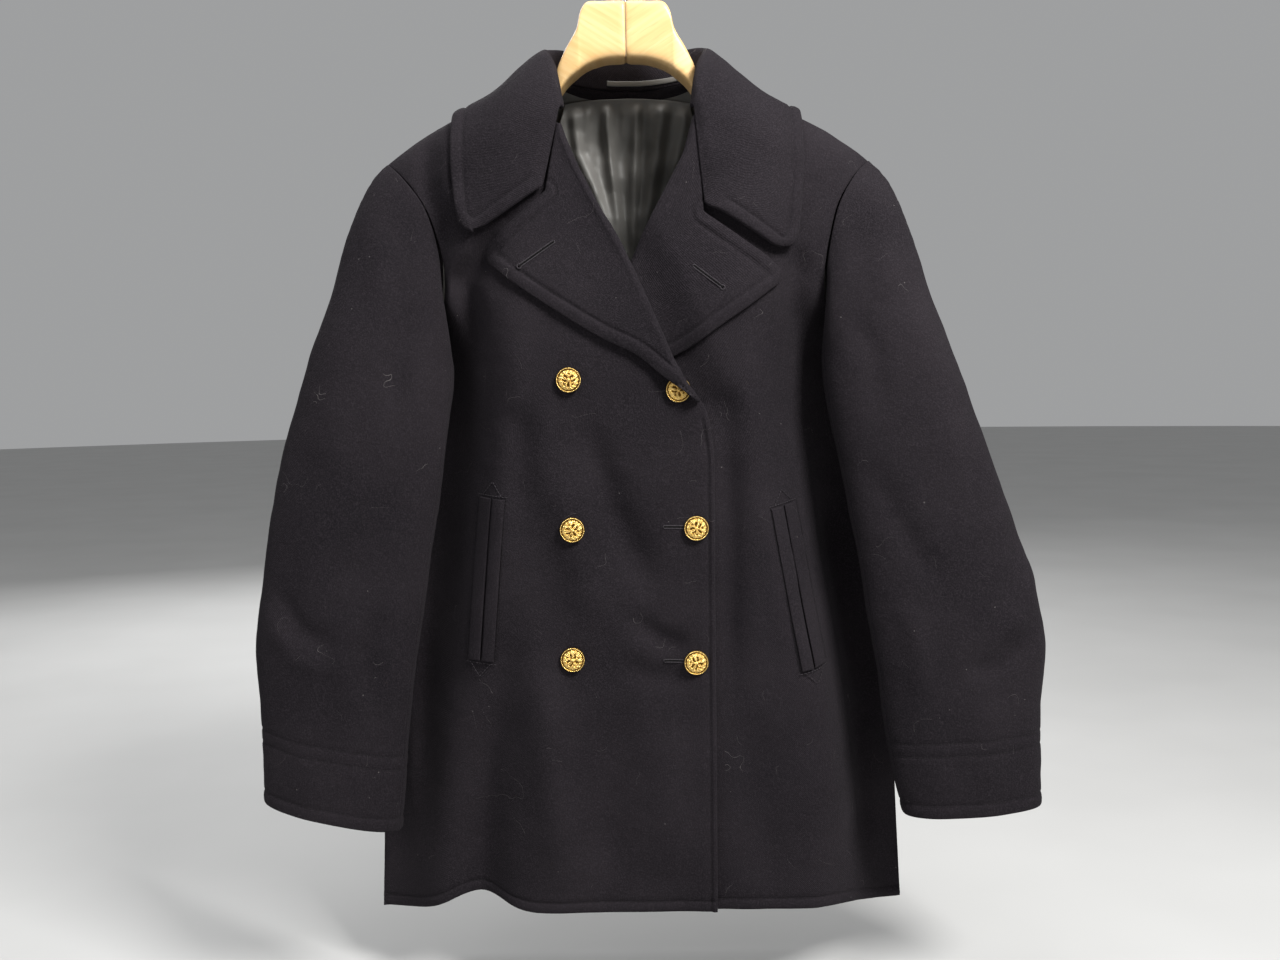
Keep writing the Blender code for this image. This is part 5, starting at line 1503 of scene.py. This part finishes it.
def buttonholes(materials):
    made = []
    for side, word in SIDES:
        eye, end = LAPEL_HOLES[side]
        made += buttonhole("lapel_hole_" + word, eye, end,
                           lambda x, z, side=side: lapel_off(side, x, z, OFF_THE_ROLL),
                           materials)
    for k in (3, 5):
        x, z = BUTTONS[k]
        made += buttonhole("buttonhole_%d" % (k + 1), (x + HOLE_FROM[0], z + HOLE_FROM[1]),
                           (x + HOLE_REACH[0], z + HOLE_REACH[1]),
                           lambda x, z: on_front(x, z, 0.0)[..., 1], materials)
    return made


# ---- lining, loop, hanger and hook -----------------------------------------------------
LINING_INSIDE = 0.0062
LINING_WALL = 0.0012
# folds of the lining: points x, z along each, its half-width and its height
LINING_FOLDS = [
    ([(-0.052, -0.118), (-0.047, -0.190), (-0.027, -0.235), (-0.012, -0.290)], 0.0065, 0.0080),
    ([(-0.074, -0.125), (-0.066, -0.180), (-0.050, -0.245)], 0.0090, 0.0050),
    ([(-0.036, -0.120), (-0.038, -0.170), (-0.032, -0.205)], 0.0050, 0.0035),
    ([(-0.020, -0.112), (-0.019, -0.165), (-0.015, -0.225), (-0.006, -0.300)], 0.0055, 0.0065),
    ([(-0.004, -0.115), (-0.002, -0.150), (-0.008, -0.190)], 0.0050, 0.0030),
    ([(0.012, -0.114), (0.007, -0.180), (0.004, -0.250), (0.001, -0.320)], 0.0050, 0.0065),
    ([(0.037, -0.112), (0.031, -0.165), (0.021, -0.230), (0.008, -0.300)], 0.0075, 0.0080),
    ([(0.024, -0.118), (0.022, -0.150), (0.018, -0.190)], 0.0045, 0.0030),
    ([(0.060, -0.118), (0.052, -0.170), (0.036, -0.245)], 0.0070, 0.0055),
    ([(0.078, -0.125), (0.070, -0.180), (0.054, -0.240)], 0.0090, 0.0050),
    ([(-0.062, -0.152), (-0.032, -0.166), (-0.006, -0.160)], 0.0090, 0.0016),
    ([(0.015, -0.205), (0.035, -0.198), (0.058, -0.206)], 0.0080, 0.0014)]
LINING_FOLD_SCALE = 1.2
LINING_UNEVEN = ((0.0009, 0.034, 11), (0.0004, 0.013, 12))
LINING_LIFT = 0.0035     # how far the lining billows off the back on the whole
LINING_ROWS, LINING_COLUMNS = 120, 240
LINING_WIDTH = 0.230
LINING_NECK = 0.52       # width at its top, as part of that
LINING_WAYS = (0.046, 0.330)    # its top and bottom, as ways from the shoulder ridge
LINING_GRID = 0.0026
LINING_DROP = 0.003


def lining(materials):
    """The back lining that shows in the neck, gathered by its folds."""
    share = np.linspace(0, 1, LINING_COLUMNS)
    top_w, low_w = LINING_WAYS
    rows = []
    for k in range(LINING_ROWS):
        t = (k / (LINING_ROWS - 1)) ** 1.2
        wide = LINING_NECK + (1 - LINING_NECK) * smooth(2.5 * t)
        x = (share - 0.5) * LINING_WIDTH * wide
        row = drape(x, top_w + (low_w - top_w) * t)
        height = LINING_LIFT + LINING_FOLD_SCALE * fold_field(row[:, 0], row[:, 2], LINING_FOLDS)
        height = height + waves(row, LINING_UNEVEN)
        row[:, 1] -= LINING_INSIDE + height * smooth(t / 0.06)
        row[:, 2] -= LINING_DROP
        rows.append(row)
    grid = turned(respace(turned(np.array(rows)), marks(), marks(), LINING_GRID))
    return cloth("lining_back", grid, LINING_WALL, FORWARD, materials)[0]


LOOP_FROM_X = -0.020
LOOP_TO_X = 0.052
LOOP_TOP = 0.25
LOOP_FOOT = 0.68
LOOP_STAND_OFF = 0.0012
LOOP_WALL = 0.0012


def hanging_loop(materials):
    """Strap inside the back of the neck, a little off the collar stand."""
    stand = collar_rows()
    foot, middle = stand[:, 0], stand[:, STAND_COLUMNS // 3]
    keep = (middle[:, 0] > LOOP_FROM_X) & (middle[:, 0] < LOOP_TO_X) & (middle[:, 1] > 0)
    foot, middle = foot[keep], middle[keep]
    ways = np.linspace(LOOP_TOP, LOOP_FOOT, 14)
    strap = np.stack([middle + (foot - middle) * way for way in ways], 1)
    ahead = unit(strap * (-1, -1, 0) + (0, NECK_MIDDLE_Y, 0))
    grid = strap + ahead * (LOOP_STAND_OFF + LOOP_WALL)
    return cloth("hanging_loop", grid, LOOP_WALL, ahead, materials, uneven=0.3)[0]


# wooden hanger: half-width x, top z, bottom z, depth of the middle y, half-thickness
HANGER = np.array([
    (0.0002, -0.0700, -0.1205, 0.000, 0.0165),
    (0.0200, -0.0705, -0.1220, 0.000, 0.0165),
    (0.0360, -0.0725, -0.1275, 0.000, 0.0165),
    (0.0385, -0.0760, -0.1290, 0.000, 0.0165),
    (0.0440, -0.0950, -0.1330, 0.000, 0.0165),
    (0.0530, -0.1100, -0.1400, 0.002, 0.0165),
    (0.0605, -0.1245, -0.1490, 0.004, 0.0160),
    (0.0650, -0.1345, -0.1540, 0.006, 0.0150),
    (0.0720, -0.1390, -0.1600, 0.006, 0.0140),
    (0.0820, -0.1440, -0.1680, 0.006, 0.0145),
    (0.1000, -0.1530, -0.1800, 0.006, 0.0170),
    (0.1400, -0.1730, -0.2000, 0.005, 0.0175),
    (0.1800, -0.1940, -0.2170, 0.005, 0.0165),
    (0.1990, -0.2090, -0.2260, 0.005, 0.0125)])
HANGER_CORNERS = 64
HANGER_ROWS = 130
HANGER_SQUARENESS = 0.30


def hanger(materials):
    """Both halves of the hanger: rounded boxes along its arms, drawn in at the ends."""
    made = {}
    table = curve(HANGER, np.linspace(0, 1, HANGER_ROWS))
    a = circle(HANGER_CORNERS) + math.pi / HANGER_CORNERS
    c, s = bent(np.cos(a), HANGER_SQUARENESS), bent(np.sin(a), HANGER_SQUARENESS)
    for side, word in SIDES:
        rings = []
        for k, (x, top, bottom, y_mid, half_y) in enumerate(table):
            joint = 0.04 * max(0.0, 1 - k / 1.5)
            tip = 0.5 * max(0.0, 1 - (HANGER_ROWS - 1 - k) / 4) ** 2
            ends = 1 - joint - tip
            y = y_mid + half_y * ends * c
            z = (top + bottom) / 2 + (top - bottom) / 2 * ends * s - SHOULDER_TILT * side * x
            rings.append(np.stack([np.full_like(y, side * x), y, z], -1))
        made["hanger_" + word] = tube("hanger_" + word, np.array(rings), [materials["wood_" + word]])
    return made


HOOK_WIRE = 0.0019
HOOK_BEND = 0.0200
HOOK_ROWS = 160
HOOK_SIDES = 20
HOOK_TIP = 155           # the row where the wire's tip starts to round off


def hook(material):
    """Wire hook; the inside of its bend bears on the rail at the origin."""
    centre_z = HOOK_WIRE - HOOK_BEND
    path = [(0.0, 0.0, -0.0694), (0.0, 0.0, -0.0580), (0.001, 0.0, -0.0470)]
    for degrees in range(-60, 200, 20):
        turn = math.radians(degrees)
        path.append((HOOK_BEND * math.cos(turn), 0.0, centre_z + HOOK_BEND * math.sin(turn)))
    centre = curve(np.array(path), np.linspace(0, 1, HOOK_ROWS))
    tip = np.clip(np.arange(HOOK_ROWS) - HOOK_TIP, 0, 4) / 4.6
    radius = HOOK_WIRE * np.sqrt(np.clip(1 - tip ** 2, 0, 1))
    return tube("hook", rings_along(centre, radius, HOOK_SIDES, BACKWARD), [material])


# ---- stage ---------------------------------------------------------------------------
CAMERA = (0.00566, -1.11256, -0.41322)
CAMERA_PITCH = math.radians(4.5)
CAMERA_ROLL = math.radians(-1.05)
CAMERA_LENS = 33.75
FLOOR_Z = -0.985
FLOOR_RADIUS = 14
FLOOR_CORNERS = 64
# lights: name, place, what each is aimed at, its size, power and colour
LIGHTS = [
    ("key", (0.9, -1.15, 0.80), (0, 0, -0.25), (0.6, 0.6), 62, (1.0, 0.99, 0.97)),
    ("fill", (-1.9, -1.6, 0.2), (0, 0, -0.5), (1.2, 1.2), 9, (0.95, 0.97, 1.0)),
    ("top", (-0.2, -0.2, 1.2), (0, 0, -0.3), (1.2, 0.8), 16, WHITE),
    ("back", (-0.8, 2.2, 0.7), (0, 0, -0.4), (1.8, 1.6), 44, WHITE)]


def camera():
    data = bpy.data.cameras.new("camera")
    data.lens, data.sensor_width = CAMERA_LENS, 36
    made = bpy.data.objects.new("camera", data)
    forward = Vector((0, math.cos(CAMERA_PITCH), -math.sin(CAMERA_PITCH)))
    level, lift = Vector((1, 0, 0)), Vector((0, math.sin(CAMERA_PITCH), math.cos(CAMERA_PITCH)))
    c, s = math.cos(CAMERA_ROLL), math.sin(CAMERA_ROLL)
    right, up = c * level + s * lift, -s * level + c * lift
    turn = Matrix((right, up, -forward)).transposed().to_4x4()
    made.matrix_world = Matrix.Translation(CAMERA) @ turn
    bpy.context.scene.collection.objects.link(made)
    bpy.context.scene.camera = made


def area_light(name, place, target, size, power, colour):
    data = bpy.data.lights.new(name, "AREA")
    data.shape, data.size, data.size_y = "RECTANGLE", size[0], size[1]
    data.energy, data.color = power, colour
    made = bpy.data.objects.new(name, data)
    made.location = place
    made.rotation_euler = (Vector(target) - Vector(place)).to_track_quat("-Z", "Y").to_euler()
    bpy.context.scene.collection.objects.link(made)


def stage():
    mesh = bpy.data.meshes.new("floor")
    rim = [(FLOOR_RADIUS * math.cos(a), FLOOR_RADIUS * math.sin(a), FLOOR_Z)
           for a in circle(FLOOR_CORNERS)]
    mesh.from_pydata(rim, [], [list(range(FLOOR_CORNERS))])
    mesh.materials.append(pale_floor("floor"))
    floor = bpy.data.objects.new("floor", mesh)
    bpy.context.scene.collection.objects.link(floor)
    world = bpy.data.worlds.new("studio")
    world.use_nodes = True
    background = world.node_tree.nodes["Background"].inputs
    background["Color"].default_value = (0.86, 0.87, 0.88, 1)
    background["Strength"].default_value = 0.40
    bpy.context.scene.world = world
    bpy.context.scene.view_settings.view_transform = "Standard"
    for light in LIGHTS:
        area_light(*light)


# ---- cloth facts ------------------------------------------------------------------------
def flat_of(obj):
    """Width, length and area of a cloth piece's cut, from its own two skins."""
    mesh = obj.data
    uv = np.zeros(len(mesh.loops) * 2, np.float32)
    mesh.uv_layers["cloth"].data.foreach_get("uv", uv)
    uv = uv.reshape(-1, 2)
    width, length = np.ptp(uv[:, 0]), np.ptp(uv[:, 1])
    area = sum(p.area for p in mesh.polygons) / 2
    return float(width), float(length), float(area)


def declare(obj):
    width, length, area = flat_of(obj)
    area = min(area, width * length)


def build():
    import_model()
    wool = melton("melton", (0.0112, 0.0096, 0.0116), (0.0172, 0.0146, 0.0172))
    silk = satin("lining_satin")
    materials = {"thread": thread("wool_thread", (0.010, 0.009, 0.010)),
                 "twist": thread("buttonhole_twist", (0.026, 0.023, 0.026)),
                 "dark": thread("slit_shadow", (0.002, 0.002, 0.002)),
                 "wood_right": wood("wood_right", -1), "wood_left": wood("wood_left", 1)}
    paths = []
    pieces = body_panels([wool, silk], paths)
    pieces.update(sleeves([wool, silk], paths))
    pieces.update(lapels([wool, wool], paths))
    pieces["collar"] = collar([wool, wool], paths)
    tacks = []
    pieces.update(pocket_welts([wool, wool], paths, tacks))
    pieces["lining_back"] = lining([silk, silk])
    pieces["hanging_loop"] = hanging_loop([silk, silk])
    for name, piece in pieces.items():
        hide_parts(name)
    for name, piece in pieces.items():
        if not name.startswith(("welt", "hanging")):
            declare(piece)
    for name, piece in hanger(materials).items():
        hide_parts(name)
    for k, piece in enumerate(buttons(gilt("gilt"))):
        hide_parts("button_%d" % (k + 1))
    wire = hook(steel("hook_steel"))
    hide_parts("hook")
    stitched("topstitching", paths, [materials["thread"]])
    stitched("pocket_tacks", tacks, [materials["twist"]], 1.5)
    for piece in buttonholes(materials):
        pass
    camera()
    stage()


build()
